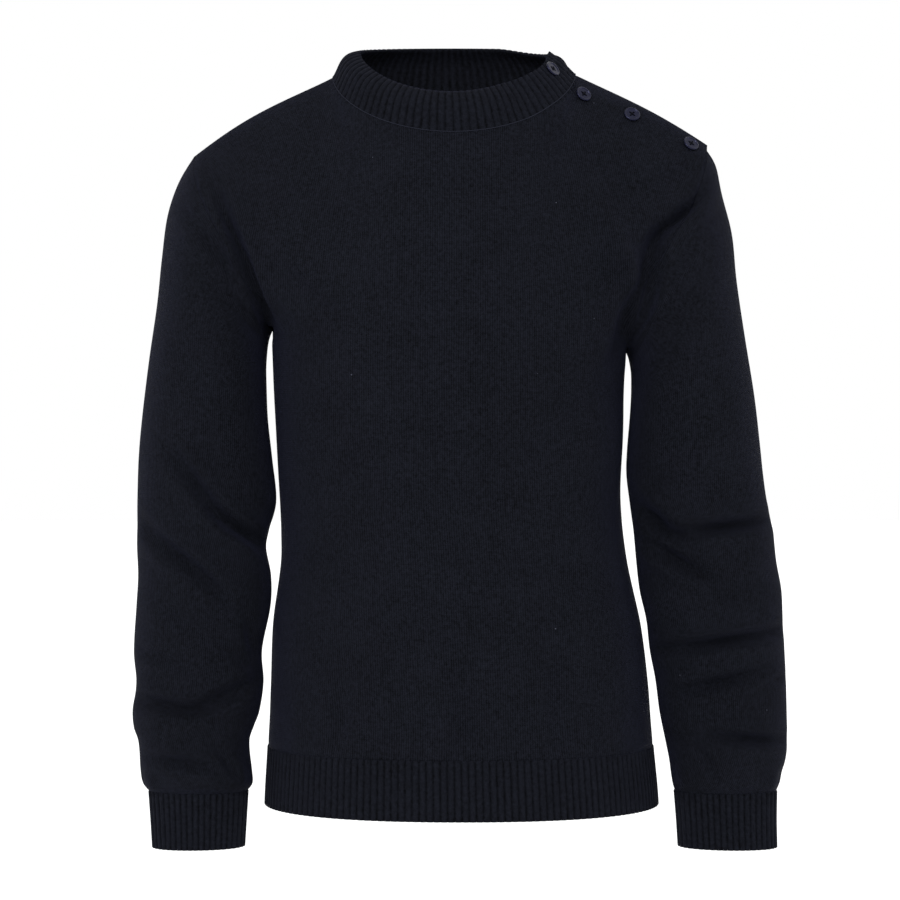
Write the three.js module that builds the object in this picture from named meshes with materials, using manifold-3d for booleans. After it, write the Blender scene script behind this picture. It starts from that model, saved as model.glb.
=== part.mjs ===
// A heavy knitted sweater in its worn shape, with nobody in it: neck, hem, cuffs and armholes are open.
// At the left shoulder the front laps over the back, and the ribbed collar laps over itself.
// Four buttons hold that lap. Every cloth piece is one closed wall, and pieces part at their seams.
// Millimetres, +Z up, the front towards -Y, the wearer's left towards +X.
// The origin is the middle of the neck's base, level with the shoulders.

import * as THREE from 'three';
import { mergeVertices } from 'three/addons/utils/BufferGeometryUtils.js';
import Module from 'manifold-3d';

const { clamp, degToRad, lerp, smoothstep } = THREE.MathUtils;
const { abs, asin, cos, exp, floor, hypot, max, sign, sin, sqrt, PI } = Math;

// Driving dimensions
const WALL = 2.6;
const SEAM_GAP = 0.3;
const RIB_RELIEF = 0.8;
const HEM_JOIN = -611;
const HEM_BOTTOM = -663;
const HEM_RIBS_EACH_HALF = 80;
const CUFF_RIBS = 42;
const COLLAR_RIBS = 88;

// How square the body's section is: 2 is an ellipse.
const BODY_SQUARENESS = 2.25;
const SLEEVE_SQUARENESS = 2.1;

// The body's half width to each side and its depth to the front and back, from hem to armpit
const BODY = [
  { z: -664, right: 174, left: 186, front: 128, back: 128 },
  { z: -607, right: 171, left: 181, front: 126, back: 124 },
  { z: -552, right: 169, left: 177, front: 122, back: 118 },
  { z: -497, right: 167, left: 170, front: 117, back: 110 },
  { z: -442, right: 160, left: 158, front: 113, back: 102 },
  { z: -386, right: 161, left: 152, front: 112, back: 98 },
  { z: -330, right: 164, left: 154, front: 114, back: 100 },
  { z: -270, right: 167, left: 156, front: 117, back: 109 },
  { z: -225, right: 168, left: 158, front: 118, back: 113 },
];

// Each armhole runs from the armpit to the shoulder point; a bow moves its seam outwards.
const RIGHT_ARMHOLE = {
  side: -1, shoulderX: -240, shoulderZ: -70, armpitX: -168, armpitZ: -230,
  frontDepth: 62, backDepth: 68, frontBowHigh: 8, frontBowLow: 0, backBow: 5, shoulderBow: 6,
};
const LEFT_ARMHOLE = {
  side: 1, shoulderX: 230, shoulderZ: -62, armpitX: 157, armpitZ: -249,
  frontDepth: 62, backDepth: 68, frontBowHigh: 9, frontBowLow: -10, backBow: 5, shoulderBow: 3.5,
};

// The neckline that the collar stands on, and the collar's upper edge
const NECK = { middleX: -2, halfWidth: 110, front: 76, back: 74, sideZ: 3, frontDrop: 60, backDrop: 1 };
const COLLAR_TOP = {
  middleX: -3.5, halfWidth: 83.5, front: 68, back: 68, sideZ: 27, frontDrop: 47, backDrop: -14,
};
const NECK_DROP_POWER = 1.15;

// The front's lap over the back at the left shoulder, and the collar's ends there
const LAP_LIFT = WALL + 2 * SEAM_GAP;
const COLLAR_LAP_LIFT = WALL + RIB_RELIEF + SEAM_GAP;
const COLLAR_SEAT_GAP = 0.45;
const LAP_REACH = 58;
const LAP_FADE = 30;
const STAND_START_ANGLE = 90;
const STAND_ROWS = 2;
const COLLAR_FRONT_END = 95;
const COLLAR_BACK_END = 79;

// The shoulder ridge: how round it is at the shoulder point, and how far down its rounding reaches
const RIDGE_RADIUS = 9;
const RIDGE_REACH = 30;

// Beside the neck: how round the ridge is, how far out it takes on the shoulder's own rounding,
// and how far down the cloth is drawn towards its upper edge
const FRONT_DRAPE = { neckRidge: 0, ridgeFade: 45, edgeReach: 22, steepness: 1.3, neckSteepness: 0.3 };
const BACK_DRAPE = { neckRidge: 80, ridgeFade: 100, edgeReach: 40, steepness: 1.7, neckSteepness: 1 };

// The cloth drapes as if it ran on over the neck, up to a crown this high and this far forward.
const CROWN_RISE = 30;
const CROWN_DEPTH = 54;
const CROWN_NARROWING = 1.1;

// Rows of each sleeve from the armhole to the cuff: the outer and inner points of its section,
// the middle of its depth and half its depth
const RIGHT_SLEEVE = [
  { outerX: -240, outerZ: -70, innerX: -168, innerZ: -230, middleY: 3, halfDepth: 65 },
  { outerX: -254, outerZ: -94, innerX: -170.5, innerZ: -236, middleY: 2, halfDepth: 65 },
  { outerX: -264, outerZ: -125, innerX: -172, innerZ: -243, middleY: 0, halfDepth: 64 },
  { outerX: -269, outerZ: -165, innerX: -173, innerZ: -252, middleY: -2, halfDepth: 64 },
  { outerX: -273, outerZ: -207, innerX: -173.5, innerZ: -264, middleY: -5, halfDepth: 62 },
  { outerX: -280, outerZ: -258, innerX: -173, innerZ: -281, middleY: -8, halfDepth: 60 },
  { outerX: -286, outerZ: -310, innerX: -171.5, innerZ: -312, middleY: -11, halfDepth: 57 },
  { outerX: -289, outerZ: -347, innerX: -167.5, innerZ: -347, middleY: -13, halfDepth: 54 },
  { outerX: -290, outerZ: -386, innerX: -163.5, innerZ: -386, middleY: -15, halfDepth: 51 },
  { outerX: -290, outerZ: -414, innerX: -170, innerZ: -413, middleY: -16, halfDepth: 49 },
  { outerX: -290, outerZ: -430, innerX: -172.5, innerZ: -430, middleY: -17, halfDepth: 48 },
  { outerX: -289, outerZ: -455, innerX: -168, innerZ: -455, middleY: -18, halfDepth: 47 },
  { outerX: -290.5, outerZ: -483, innerX: -168.5, innerZ: -483, middleY: -19, halfDepth: 45 },
  { outerX: -292.5, outerZ: -522, innerX: -176, innerZ: -522, middleY: -21, halfDepth: 43 },
  { outerX: -290, outerZ: -551, innerX: -174.5, innerZ: -551, middleY: -23, halfDepth: 42 },
  { outerX: -293, outerZ: -575, innerX: -178, innerZ: -577, middleY: -25, halfDepth: 41 },
  { outerX: -292, outerZ: -591, innerX: -183, innerZ: -591, middleY: -26, halfDepth: 40 },
  { outerX: -287.5, outerZ: -605, innerX: -187, innerZ: -605, middleY: -27, halfDepth: 39 },
  { outerX: -285.5, outerZ: -630, innerX: -185, innerZ: -630, middleY: -28, halfDepth: 37 },
  { outerX: -283, outerZ: -642, innerX: -184.5, innerZ: -642, middleY: -29, halfDepth: 33 },
  { outerX: -277.5, outerZ: -649, innerX: -188.5, innerZ: -649, middleY: -29, halfDepth: 27 },
];
const LEFT_SLEEVE = [
  { outerX: 230, outerZ: -62, innerX: 157, innerZ: -249, middleY: 3, halfDepth: 65 },
  { outerX: 239.5, outerZ: -78, innerX: 159.5, innerZ: -255, middleY: 2, halfDepth: 65 },
  { outerX: 245, outerZ: -105, innerX: 161, innerZ: -262, middleY: 0, halfDepth: 64 },
  { outerX: 254, outerZ: -142, innerX: 162, innerZ: -270, middleY: -2, halfDepth: 64 },
  { outerX: 258, outerZ: -185, innerX: 162, innerZ: -280, middleY: -5, halfDepth: 62 },
  { outerX: 265, outerZ: -235, innerX: 161.5, innerZ: -293, middleY: -8, halfDepth: 60 },
  { outerX: 273.5, outerZ: -290, innerX: 160, innerZ: -312, middleY: -11, halfDepth: 58 },
  { outerX: 278.5, outerZ: -335, innerX: 157.5, innerZ: -340, middleY: -13, halfDepth: 56 },
  { outerX: 281, outerZ: -360, innerX: 156.8, innerZ: -362, middleY: -14, halfDepth: 54 },
  { outerX: 284.5, outerZ: -386, innerX: 159.5, innerZ: -386, middleY: -15, halfDepth: 51 },
  { outerX: 290, outerZ: -413, innerX: 163, innerZ: -413, middleY: -16, halfDepth: 49 },
  { outerX: 293, outerZ: -441, innerX: 165.5, innerZ: -441, middleY: -17, halfDepth: 48 },
  { outerX: 297.5, outerZ: -468, innerX: 168.5, innerZ: -468, middleY: -19, halfDepth: 46 },
  { outerX: 298.5, outerZ: -495, innerX: 174.5, innerZ: -495, middleY: -20, halfDepth: 45 },
  { outerX: 300, outerZ: -522, innerX: 177.5, innerZ: -522, middleY: -21, halfDepth: 43 },
  { outerX: 301, outerZ: -549, innerX: 182.5, innerZ: -549, middleY: -23, halfDepth: 42 },
  { outerX: 301.5, outerZ: -577, innerX: 186, innerZ: -577, middleY: -25, halfDepth: 41 },
  { outerX: 301.5, outerZ: -605, innerX: 191.5, innerZ: -605, middleY: -27, halfDepth: 39 },
  { outerX: 300, outerZ: -620, innerX: 194.5, innerZ: -620, middleY: -28, halfDepth: 38 },
  { outerX: 296.5, outerZ: -632, innerX: 196.5, innerZ: -632, middleY: -28, halfDepth: 36 },
  { outerX: 294.5, outerZ: -641, innerX: 198, innerZ: -641, middleY: -29, halfDepth: 33 },
  { outerX: 291.5, outerZ: -649, innerX: 199.5, innerZ: -649, middleY: -29, halfDepth: 27 },
];
const RIGHT_CUFF = [
  { outerX: -277.5, outerZ: -649.3, innerX: -188.5, innerZ: -649.3, middleY: -29, halfDepth: 27 },
  { outerX: -275.5, outerZ: -675, innerX: -190, innerZ: -675, middleY: -30, halfDepth: 26 },
  { outerX: -274, outerZ: -700, innerX: -191.5, innerZ: -699, middleY: -30, halfDepth: 26 },
];
const LEFT_CUFF = [
  { outerX: 291.5, outerZ: -649.3, innerX: 199.5, innerZ: -649.3, middleY: -29, halfDepth: 27 },
  { outerX: 291, outerZ: -675, innerX: 201.5, innerZ: -675, middleY: -30, halfDepth: 26 },
  { outerX: 291.5, outerZ: -700, innerX: 203, innerZ: -699, middleY: -30, halfDepth: 26 },
];

// The largest folds, each from one point to another as seen from the front or the back.
// A negative height is a trough with a soft ridge on both sides.
const BODY_FOLDS = [
  { face: -1, x1: -196, z1: -120, x2: -166, z2: -190, width: 13, height: -5 },
  { face: -1, x1: -158, z1: -178, x2: -120, z2: -215, width: 16, height: -3 },
  { face: -1, x1: 178, z1: -150, x2: 148, z2: -246, width: 13, height: -6 },
  { face: -1, x1: 138, z1: -140, x2: 168, z2: -205, width: 20, height: 3.5 },
  { face: -1, x1: -40, z1: -330, x2: -120, z2: -380, width: 34, height: -2.5 },
  { face: -1, x1: 60, z1: -350, x2: 128, z2: -300, width: 34, height: -2.5 },
  { face: -1, x1: 92, z1: -600, x2: 86, z2: -520, width: 16, height: -2.2 },
  { face: -1, x1: -104, z1: -600, x2: -98, z2: -540, width: 16, height: -2.2 },
  { face: -1, x1: 10, z1: -600, x2: 6, z2: -548, width: 18, height: -1.8 },
  { face: 1, x1: -184, z1: -110, x2: -150, z2: -215, width: 15, height: -5 },
  { face: 1, x1: 176, z1: -110, x2: 140, z2: -225, width: 15, height: -5 },
  { face: 1, x1: -110, z1: -420, x2: 70, z2: -436, width: 26, height: -4 },
  { face: 1, x1: -60, z1: -478, x2: 120, z2: -458, width: 24, height: -3.5 },
  { face: 1, x1: -70, z1: -600, x2: -76, z2: -530, width: 17, height: -2.4 },
  { face: 1, x1: 56, z1: -600, x2: 50, z2: -536, width: 17, height: -2.4 },
];
const RIGHT_SLEEVE_FOLDS = [
  { face: -1, x1: -222, z1: -128, x2: -190, z2: -186, width: 10, height: -4 },
  { face: -1, x1: -244, z1: -353, x2: -207, z2: -399, width: 12, height: -5 },
  { face: -1, x1: -207, z1: -399, x2: -170, z2: -424, width: 11, height: -6 },
  { face: -1, x1: -274, z1: -411, x2: -222, z2: -454, width: 12, height: -4.5 },
  { face: -1, x1: -284, z1: -559, x2: -230, z2: -566, width: 10, height: -4.5 },
  { face: -1, x1: -230, z1: -566, x2: -182, z2: -546, width: 10, height: -4 },
  { face: -1, x1: -268, z1: -612, x2: -226, z2: -618, width: 9, height: -3 },
  { face: 1, x1: -240, z1: -180, x2: -200, z2: -250, width: 16, height: -5 },
  { face: 1, x1: -282, z1: -372, x2: -190, z2: -408, width: 13, height: -5 },
  { face: 1, x1: -280, z1: -440, x2: -185, z2: -428, width: 12, height: -5 },
  { face: 1, x1: -276, z1: -545, x2: -196, z2: -572, width: 12, height: -4 },
  { face: 1, x1: -270, z1: -606, x2: -205, z2: -600, width: 10, height: -3.5 },
];
const LEFT_SLEEVE_FOLDS = [
  { face: -1, x1: 205, z1: -105, x2: 184, z2: -150, width: 11, height: -4 },
  { face: -1, x1: 204, z1: -408, x2: 290, z2: -396, width: 11, height: -5 },
  { face: -1, x1: 162, z1: -410, x2: 214, z2: -440, width: 14, height: -8 },
  { face: -1, x1: 190, z1: -512, x2: 284, z2: -499, width: 12, height: -4.5 },
  { face: -1, x1: 205, z1: -549, x2: 268, z2: -534, width: 11, height: -4 },
  { face: -1, x1: 234, z1: -590, x2: 292, z2: -596, width: 10, height: -3.5 },
  { face: 1, x1: 236, z1: -180, x2: 196, z2: -262, width: 16, height: -5 },
  { face: 1, x1: 276, z1: -380, x2: 186, z2: -414, width: 13, height: -5 },
  { face: 1, x1: 284, z1: -452, x2: 186, z2: -436, width: 12, height: -5 },
  { face: 1, x1: 290, z1: -540, x2: 206, z2: -560, width: 12, height: -4 },
  { face: 1, x1: 284, z1: -600, x2: 214, z2: -612, width: 10, height: -3.5 },
];

// Folds flatten out this far from a seam.
const FOLD_EDGE = 14;

// How finely each piece is made
const NECK_COLUMNS = 14;
const SHOULDER_COLUMNS = 7;
const FRONT_BODY_ROWS = 11;
const FRONT_CHEST_ROWS = 12;
const BACK_BODY_ROWS = 10;
const BACK_CHEST_ROWS = 8;
const SLEEVE_COLUMNS = 24;
const SLEEVE_ROWS = 28;
const COLLAR_ROWS = 2;

// Buttons: four holes in a dished face with a rim
const BUTTON_RADIUS = 7.5;
const BUTTON_HEIGHT = 2.5;
const BUTTON_DISH = 0.7;
const BUTTON_RIM = 1.5;
const BUTTON_HOLE_RADIUS = 0.85;
const BUTTON_HOLE_OFFSET = 1.8;
const BUTTON_SIDES = 20;
const BUTTON_HOLE_SIDES = 8;
const SHOULDER_BUTTONS = [
  { x: 116.5, z: -17, lift: 0.9 },
  { x: 161, z: -34.5, lift: 0 },
  { x: 215, z: -61, lift: 0 },
];
const COLLAR_BUTTON = { angle: 71, height: 0.6 };

const knit = new THREE.MeshStandardMaterial({ name: 'navy_knit', color: 0x161821, roughness: 0.9 });
const rib = new THREE.MeshStandardMaterial({ name: 'navy_rib', color: 0x151720, roughness: 0.92 });
const button = new THREE.MeshStandardMaterial({ name: 'navy_button', color: 0x0d0f18, roughness: 0.25 });

// A smooth curve through one column of a table, read at a row number that may be a fraction
function columnAt(rows, column, position) {
  const start = clamp(floor(position), 0, rows.length - 2);
  const value = (index) => rows[clamp(index, 0, rows.length - 1)][column];
  const share = position - start;
  const here = value(start);
  const next = value(start + 1);
  const slopeHere = (next - value(start - 1)) / 2;
  const slopeNext = (value(start + 2) - here) / 2;
  const bend = 2 * (here - next) + slopeHere + slopeNext;
  return here + share * (slopeHere + share * (next - here - slopeHere + (share - 1) * bend));
}

function bodyRowAt(z) {
  let start = 0;
  while (start < BODY.length - 2 && BODY[start + 1].z < z) {
    start += 1;
  }
  return start + (z - BODY[start].z) / (BODY[start + 1].z - BODY[start].z);
}

// Columns of the body run from -1 at the right side seam to 1 at the left one.
function acrossShare(column) {
  return sign(column) * abs(sin((column * PI) / 2)) ** (2 / BODY_SQUARENESS);
}

function columnFor(across) {
  return (sign(across) * 2 * asin(min1(abs(across)) ** (BODY_SQUARENESS / 2))) / PI;
}

function min1(value) {
  return Math.min(value, 1);
}

function depthShare(column) {
  return max(cos((column * PI) / 2), 0) ** (2 / BODY_SQUARENESS);
}

// A point of the body below the armpits; face is -1 at the front and 1 at the back.
function bodyPoint(face, column, z) {
  const row = bodyRowAt(z);
  const right = columnAt(BODY, 'right', row);
  const left = columnAt(BODY, 'left', row);
  const depth = columnAt(BODY, face < 0 ? 'front' : 'back', row);
  const x = (left - right) / 2 + ((left + right) / 2) * acrossShare(column);
  const y = face * (depth * depthShare(column) + SEAM_GAP / 2);
  return new THREE.Vector3(x, y, z);
}

// The seam's bow at a height from 0 at the armpit to 1 at the shoulder point.
// Each of its two humps is 1 at its own highest place, a third of the way from an end.
function armholeBow(armhole, face, height) {
  const high = face < 0 ? armhole.frontBowHigh : armhole.backBow;
  const low = face < 0 ? armhole.frontBowLow : 0;
  const highShare = (27 / 4) * height ** 2 * (1 - height);
  const lowShare = (27 / 4) * height * (1 - height) ** 2;
  return armhole.side * (high * highShare + low * lowShare);
}

function armholeDepth(armhole, face, height) {
  const depth = face < 0 ? armhole.frontDepth : armhole.backDepth;
  const round = 2 * sqrt(max(height * (1 - height), 0));
  return face * depth * round ** (height > 0.5 ? 1.4 : 1);
}

function armholePoint(armhole, face, height) {
  const x = lerp(armhole.armpitX, armhole.shoulderX, height) + armholeBow(armhole, face, height);
  const z = lerp(armhole.armpitZ, armhole.shoulderZ, height);
  return new THREE.Vector3(x, armholeDepth(armhole, face, height), z);
}

// The outward direction of the cloth's thickness at the armhole seam
function armholeNormal(armhole, face, height) {
  const step = 0.02;
  const low = armholePoint(armhole, face, max(height - step, 0));
  const high = armholePoint(armhole, face, min1(height + step));
  const along = high.sub(low);
  if (height < step || height > 1 - step) {
    along.set(0, 1, 0);
  }
  const down = armholeAcross(armhole);
  const normal = new THREE.Vector3().crossVectors(along, down).normalize();
  const outward = new THREE.Vector3(
    (armhole.shoulderX - armhole.armpitX) * (height - 0.5),
    armholeDepth(armhole, face, height),
    (armhole.shoulderZ - armhole.armpitZ) * (height - 0.5),
  );
  return normal.multiplyScalar(normal.dot(outward) < 0 ? -1 : 1);
}

// The direction across the seam, from the body into the sleeve
function armholeAcross(armhole) {
  const rise = armhole.shoulderZ - armhole.armpitZ;
  const run = armhole.shoulderX - armhole.armpitX;
  return new THREE.Vector3(armhole.side * rise, 0, -abs(run)).normalize();
}

// Rings of the neck: angle 0 is the front, 90 the wearer's left, 180 the back.
function neckPoint(ring, angle) {
  const turn = degToRad(angle);
  const forward = cos(turn);
  const x = ring.middleX + ring.halfWidth * sin(turn);
  if (forward > 0) {
    const z = ring.sideZ - ring.frontDrop * forward ** NECK_DROP_POWER;
    return new THREE.Vector3(x, -ring.front * forward, z);
  }
  return new THREE.Vector3(x, -ring.back * forward, ring.sideZ + ring.backDrop * forward);
}

function neckNormal(angle) {
  const turn = degToRad(angle);
  return new THREE.Vector3(0.64 * sin(turn), -0.88 * cos(turn), 0.5 + 0.22 * sin(turn) ** 2).normalize();
}

// The panels' necklines are cut in straight steps, and the collar's lower edge follows the same steps.
function neckStep(valueAt, angle) {
  const width = 180 / NECK_COLUMNS;
  const start = floor(angle / width + 1e-6) * width;
  return valueAt(start).lerp(valueAt(start + width), (angle - start) / width);
}

const TOP_MIDDLE = (RIGHT_ARMHOLE.shoulderX + LEFT_ARMHOLE.shoulderX) / 2;
const TOP_HALF_WIDTH = (LEFT_ARMHOLE.shoulderX - RIGHT_ARMHOLE.shoulderX) / 2;

function shoulderPoint(armhole, share) {
  const neckX = NECK.middleX + armhole.side * NECK.halfWidth;
  const x = lerp(neckX, armhole.shoulderX, share);
  const z = lerp(NECK.sideZ, armhole.shoulderZ, share) + armhole.shoulderBow * sin(PI * share ** 1.3);
  return new THREE.Vector3(x, 0, z);
}

// The panels' upper edge: a shoulder, the neckline and the other shoulder
function upperEdgePoint(face, column) {
  const x = TOP_MIDDLE + TOP_HALF_WIDTH * acrossShare(column);
  const neckShare = (x - NECK.middleX) / NECK.halfWidth;
  let point;
  if (abs(neckShare) < 1) {
    const turn = (asin(neckShare) * 180) / PI;
    point = neckPoint(NECK, face < 0 ? turn : 180 - turn);
  } else {
    const armhole = column < 0 ? RIGHT_ARMHOLE : LEFT_ARMHOLE;
    const neckX = NECK.middleX + armhole.side * NECK.halfWidth;
    point = shoulderPoint(armhole, (x - neckX) / (armhole.shoulderX - neckX));
  }
  point.y += (face * SEAM_GAP) / 2;
  return point;
}

function armpitLevel(column) {
  return lerp(RIGHT_ARMHOLE.armpitZ, LEFT_ARMHOLE.armpitZ, (acrossShare(column) + 1) / 2);
}

// A point of a panel: rows run from -1 at the hem join through 0 at the armpits to 1 at the upper edge.
function panelPoint(face, column, row) {
  const level = armpitLevel(column);
  if (row <= 0) {
    return bodyPoint(face, column, lerp(HEM_JOIN + SEAM_GAP, level, row + 1));
  }
  const height = (1 - cos(PI * row)) / 2;
  const armhole = column < 0 ? RIGHT_ARMHOLE : LEFT_ARMHOLE;
  const low = bodyPoint(face, column, level);
  const top = upperEdgePoint(face, column);
  const depth = depthShare(column);
  const bow = armholeBow(armhole, face, height) * abs(acrossShare(column)) ** 8;
  const x = lerp(low.x, top.x, height) + bow;
  const z = lerp(low.z, top.z, height);
  const softening = (2 * sqrt(height * (1 - height))) ** min1(3 * depth);
  const sideBulge = armholeDepth(armhole, face, height) * (1 - depth) ** 1.2 * softening;
  return new THREE.Vector3(x, chestDepth(face, low, top, z, depth, sideBulge), z);
}

// How far forward or back the cloth lies above the armpits. It drapes down from the crown,
// is drawn in to its upper edge, and turns over the shoulder in a round ridge.
function chestDepth(face, low, top, z, depth, sideBulge) {
  const drape = face < 0 ? FRONT_DRAPE : BACK_DRAPE;
  const fromMiddle = abs(top.x - NECK.middleX);
  const neckShare = fromMiddle / NECK.halfWidth;
  const steepness = drape.steepness + drape.neckSteepness * (1 - smoothstep(neckShare, 0, 1.3));
  const crownZ = neckShare < 1 ? NECK.sideZ + CROWN_RISE * (1 - neckShare ** 2) : top.z;
  const crownY = face * CROWN_DEPTH * exp(-CROWN_NARROWING * neckShare ** 2);
  const draped = (level) => lerp(crownY, low.y, 1 - ((level - low.z) / (crownZ - low.z)) ** steepness);
  const pastNeck = smoothstep(fromMiddle - NECK.halfWidth, 0, drape.ridgeFade);
  const radius = lerp(drape.neckRidge, RIDGE_RADIUS, pastNeck) * smoothstep(depth, 0, 0.35);
  const ridgeSquared = (level) => {
    const drop = max(crownZ - level, 0);
    return 2 * radius * drop * exp(-drop / RIDGE_REACH);
  };
  const edgeSlant = face * sqrt(max(top.y ** 2 - ridgeSquared(top.z), 0));
  const drawnIn = (edgeSlant - draped(top.z)) * exp((z - top.z) / drape.edgeReach);
  return face * hypot(draped(z) + drawnIn + sideBulge, sqrt(ridgeSquared(z)));
}

// How far the front is lifted near the left shoulder, where it lies on the button stand
function lapShare(point) {
  const neck = shoulderPoint(LEFT_ARMHOLE, 0);
  const shoulder = shoulderPoint(LEFT_ARMHOLE, 1);
  const nearest = new THREE.Line3(neck, shoulder).closestPointToPoint(point, true, new THREE.Vector3());
  return 1 - smoothstep(nearest.distanceTo(point), LAP_REACH, LAP_REACH + LAP_FADE);
}

function foldHeight(folds, face, point) {
  let height = 0;
  for (const fold of folds) {
    if (fold.face !== face) {
      continue;
    }
    const runX = fold.x2 - fold.x1;
    const runZ = fold.z2 - fold.z1;
    const length = hypot(runX, runZ);
    const along = ((point.x - fold.x1) * runX + (point.z - fold.z1) * runZ) / length;
    const across = ((point.x - fold.x1) * runZ - (point.z - fold.z1) * runX) / (length * fold.width);
    const past = max(-along, along - length, 0) / (1.5 * fold.width);
    const taper = 0.45 + 0.55 * sin(PI * clamp(along / length, 0.05, 0.95));
    height += fold.height * taper * (1 - across * across) * exp(-0.7 * across * across - past * past);
  }
  return height;
}

// The direction that a surface faces, away from a point inside it
function surfaceNormal(surface, u, v, inside) {
  const step = 0.004;
  const acrossU = surface(u + step, v).sub(surface(u - step, v));
  const acrossV = surface(u, v + step).sub(surface(u, v - step));
  const normal = acrossU.cross(acrossV).normalize();
  const outward = surface(u, v).sub(inside);
  return normal.multiplyScalar(normal.dot(outward) < 0 ? -1 : 1);
}

// A closed wall of cloth over a grid.
// The outer face has `fine` columns for each column of the inner face.
function clothWall({ columns, rows, wraps = false, fine = 1, outer, inner }) {
  const outerColumns = columns * fine;
  const points = [];
  const addGrid = (count, at) => {
    const first = points.length;
    const across = wraps ? count : count + 1;
    for (let row = 0; row <= rows; row += 1) {
      for (let column = 0; column < across; column += 1) {
        points.push(at(column, row));
      }
    }
    return (column, row) => first + row * across + (column % across);
  };
  const outerIndex = addGrid(outerColumns, outer);
  const innerIndex = addGrid(columns, inner);
  const faces = [];
  const addFace = (flipped, a, b, c) => faces.push(...(flipped ? [a, c, b] : [a, b, c]));
  const addSheet = (index, count, flipped) => {
    for (let row = 0; row < rows; row += 1) {
      for (let column = 0; column < count; column += 1) {
        const corner = index(column, row);
        const opposite = index(column + 1, row + 1);
        addFace(flipped, corner, index(column + 1, row), opposite);
        addFace(flipped, corner, opposite, index(column, row + 1));
      }
    }
  };
  addSheet(outerIndex, outerColumns, false);
  addSheet(innerIndex, columns, true);
  for (const row of [0, rows]) {
    const flipped = row === rows;
    for (let column = 0; column < columns; column += 1) {
      const near = innerIndex(column, row);
      const far = innerIndex(column + 1, row);
      const middle = column * fine + Math.ceil(fine / 2);
      for (let step = column * fine; step < (column + 1) * fine; step += 1) {
        addFace(flipped, outerIndex(step + 1, row), outerIndex(step, row), step < middle ? near : far);
      }
      addFace(flipped, near, far, outerIndex(middle, row));
    }
  }
  if (!wraps) {
    for (const [flipped, outerColumn, innerColumn] of [[false, 0, 0], [true, outerColumns, columns]]) {
      for (let row = 0; row < rows; row += 1) {
        const corner = outerIndex(outerColumn, row);
        const opposite = innerIndex(innerColumn, row + 1);
        addFace(flipped, corner, outerIndex(outerColumn, row + 1), opposite);
        addFace(flipped, corner, opposite, innerIndex(innerColumn, row));
      }
    }
  }
  const turnCorner = (_, i) => faces[i - (i % 3) + [0, 2, 1][i % 3]];
  const geometry = new THREE.BufferGeometry().setFromPoints(points);
  geometry.setIndex(signedVolume(points, faces) < 0 ? faces.map(turnCorner) : faces);
  geometry.computeVertexNormals();
  return geometry;
}

function signedVolume(points, faces) {
  let volume = 0;
  const normal = new THREE.Vector3();
  for (let i = 0; i < faces.length; i += 3) {
    normal.crossVectors(points[faces[i + 1]], points[faces[i + 2]]);
    volume += points[faces[i]].dot(normal) / 6;
  }
  return volume;
}

function addPiece(name, geometry, material) {
  const mesh = new THREE.Mesh(geometry, material);
  mesh.name = name;
  sweater.add(mesh);
  return mesh;
}

// Columns of a panel, denser round the neck, and its rows from the hem join up
function panelColumns() {
  const shoulder = (armhole) => {
    const neckX = NECK.middleX + armhole.side * NECK.halfWidth;
    return columnFor((neckX - TOP_MIDDLE) / TOP_HALF_WIDTH);
  };
  const list = [];
  for (let i = 0; i < SHOULDER_COLUMNS; i += 1) {
    list.push(lerp(-1, shoulder(RIGHT_ARMHOLE), i / SHOULDER_COLUMNS));
  }
  for (let i = 0; i <= NECK_COLUMNS; i += 1) {
    list.push(neckColumn(lerp(-90, 90, i / NECK_COLUMNS)));
  }
  for (let i = 1; i <= SHOULDER_COLUMNS; i += 1) {
    list.push(lerp(shoulder(LEFT_ARMHOLE), 1, i / SHOULDER_COLUMNS));
  }
  return list;
}

function neckColumn(angle) {
  const x = NECK.middleX + NECK.halfWidth * sin(degToRad(angle));
  return columnFor((x - TOP_MIDDLE) / TOP_HALF_WIDTH);
}

function evenSteps(from, to, count) {
  return Array.from({ length: count + 1 }, (_, i) => lerp(from, to, i / count));
}

// The direction of a panel's thickness: at a seam it is the one that the neighbour has too.
function panelNormal(face, column, row) {
  const inside = new THREE.Vector3(0, 0, panelPoint(face, column, row).z - 20);
  const armhole = column < 0 ? RIGHT_ARMHOLE : LEFT_ARMHOLE;
  if (abs(column) === 1 && row >= 0) {
    return armholeNormal(armhole, face, (1 - cos(PI * row)) / 2);
  }
  if (abs(column) === 1) {
    return new THREE.Vector3(armhole.side, 0, 0);
  }
  if (row === 1) {
    const x = upperEdgePoint(face, column).x;
    const neckShare = (x - NECK.middleX) / NECK.halfWidth;
    if (abs(neckShare) <= 1) {
      const turn = (asin(neckShare) * 180) / PI;
      return neckNormal(face < 0 ? turn : 180 - turn);
    }
    const slope = upperEdgePoint(face, column + 0.01).sub(upperEdgePoint(face, column - 0.01));
    return new THREE.Vector3(-slope.z, 0, slope.x).normalize();
  }
  const surface = (u, v) => panelPoint(face, clamp(u, -1, 1), clamp(v, -1, 1));
  const normal = surfaceNormal(surface, column, row, inside);
  if (row === -1) {
    normal.setZ(0).normalize();
  }
  return normal;
}

function panelEdgeShare(face, column, row, point) {
  const toSide = min1((1 - abs(column)) * 6);
  const toHem = smoothstep(point.z, HEM_JOIN, HEM_JOIN + FOLD_EDGE);
  const toTop = smoothstep(upperEdgePoint(face, column).z - point.z, 0, 2 * FOLD_EDGE);
  return toSide * toHem * toTop;
}

function panelOuter(face, column, row) {
  const point = panelPoint(face, column, row);
  const normal = panelNormal(face, column, row);
  const fold = foldHeight(BODY_FOLDS, face, point) * panelEdgeShare(face, column, row, point);
  const lift = face < 0 && column > 0 && row > 0 ? LAP_LIFT * lapShare(point) : 0;
  return { point: point.addScaledVector(normal, fold + lift), normal };
}

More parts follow.
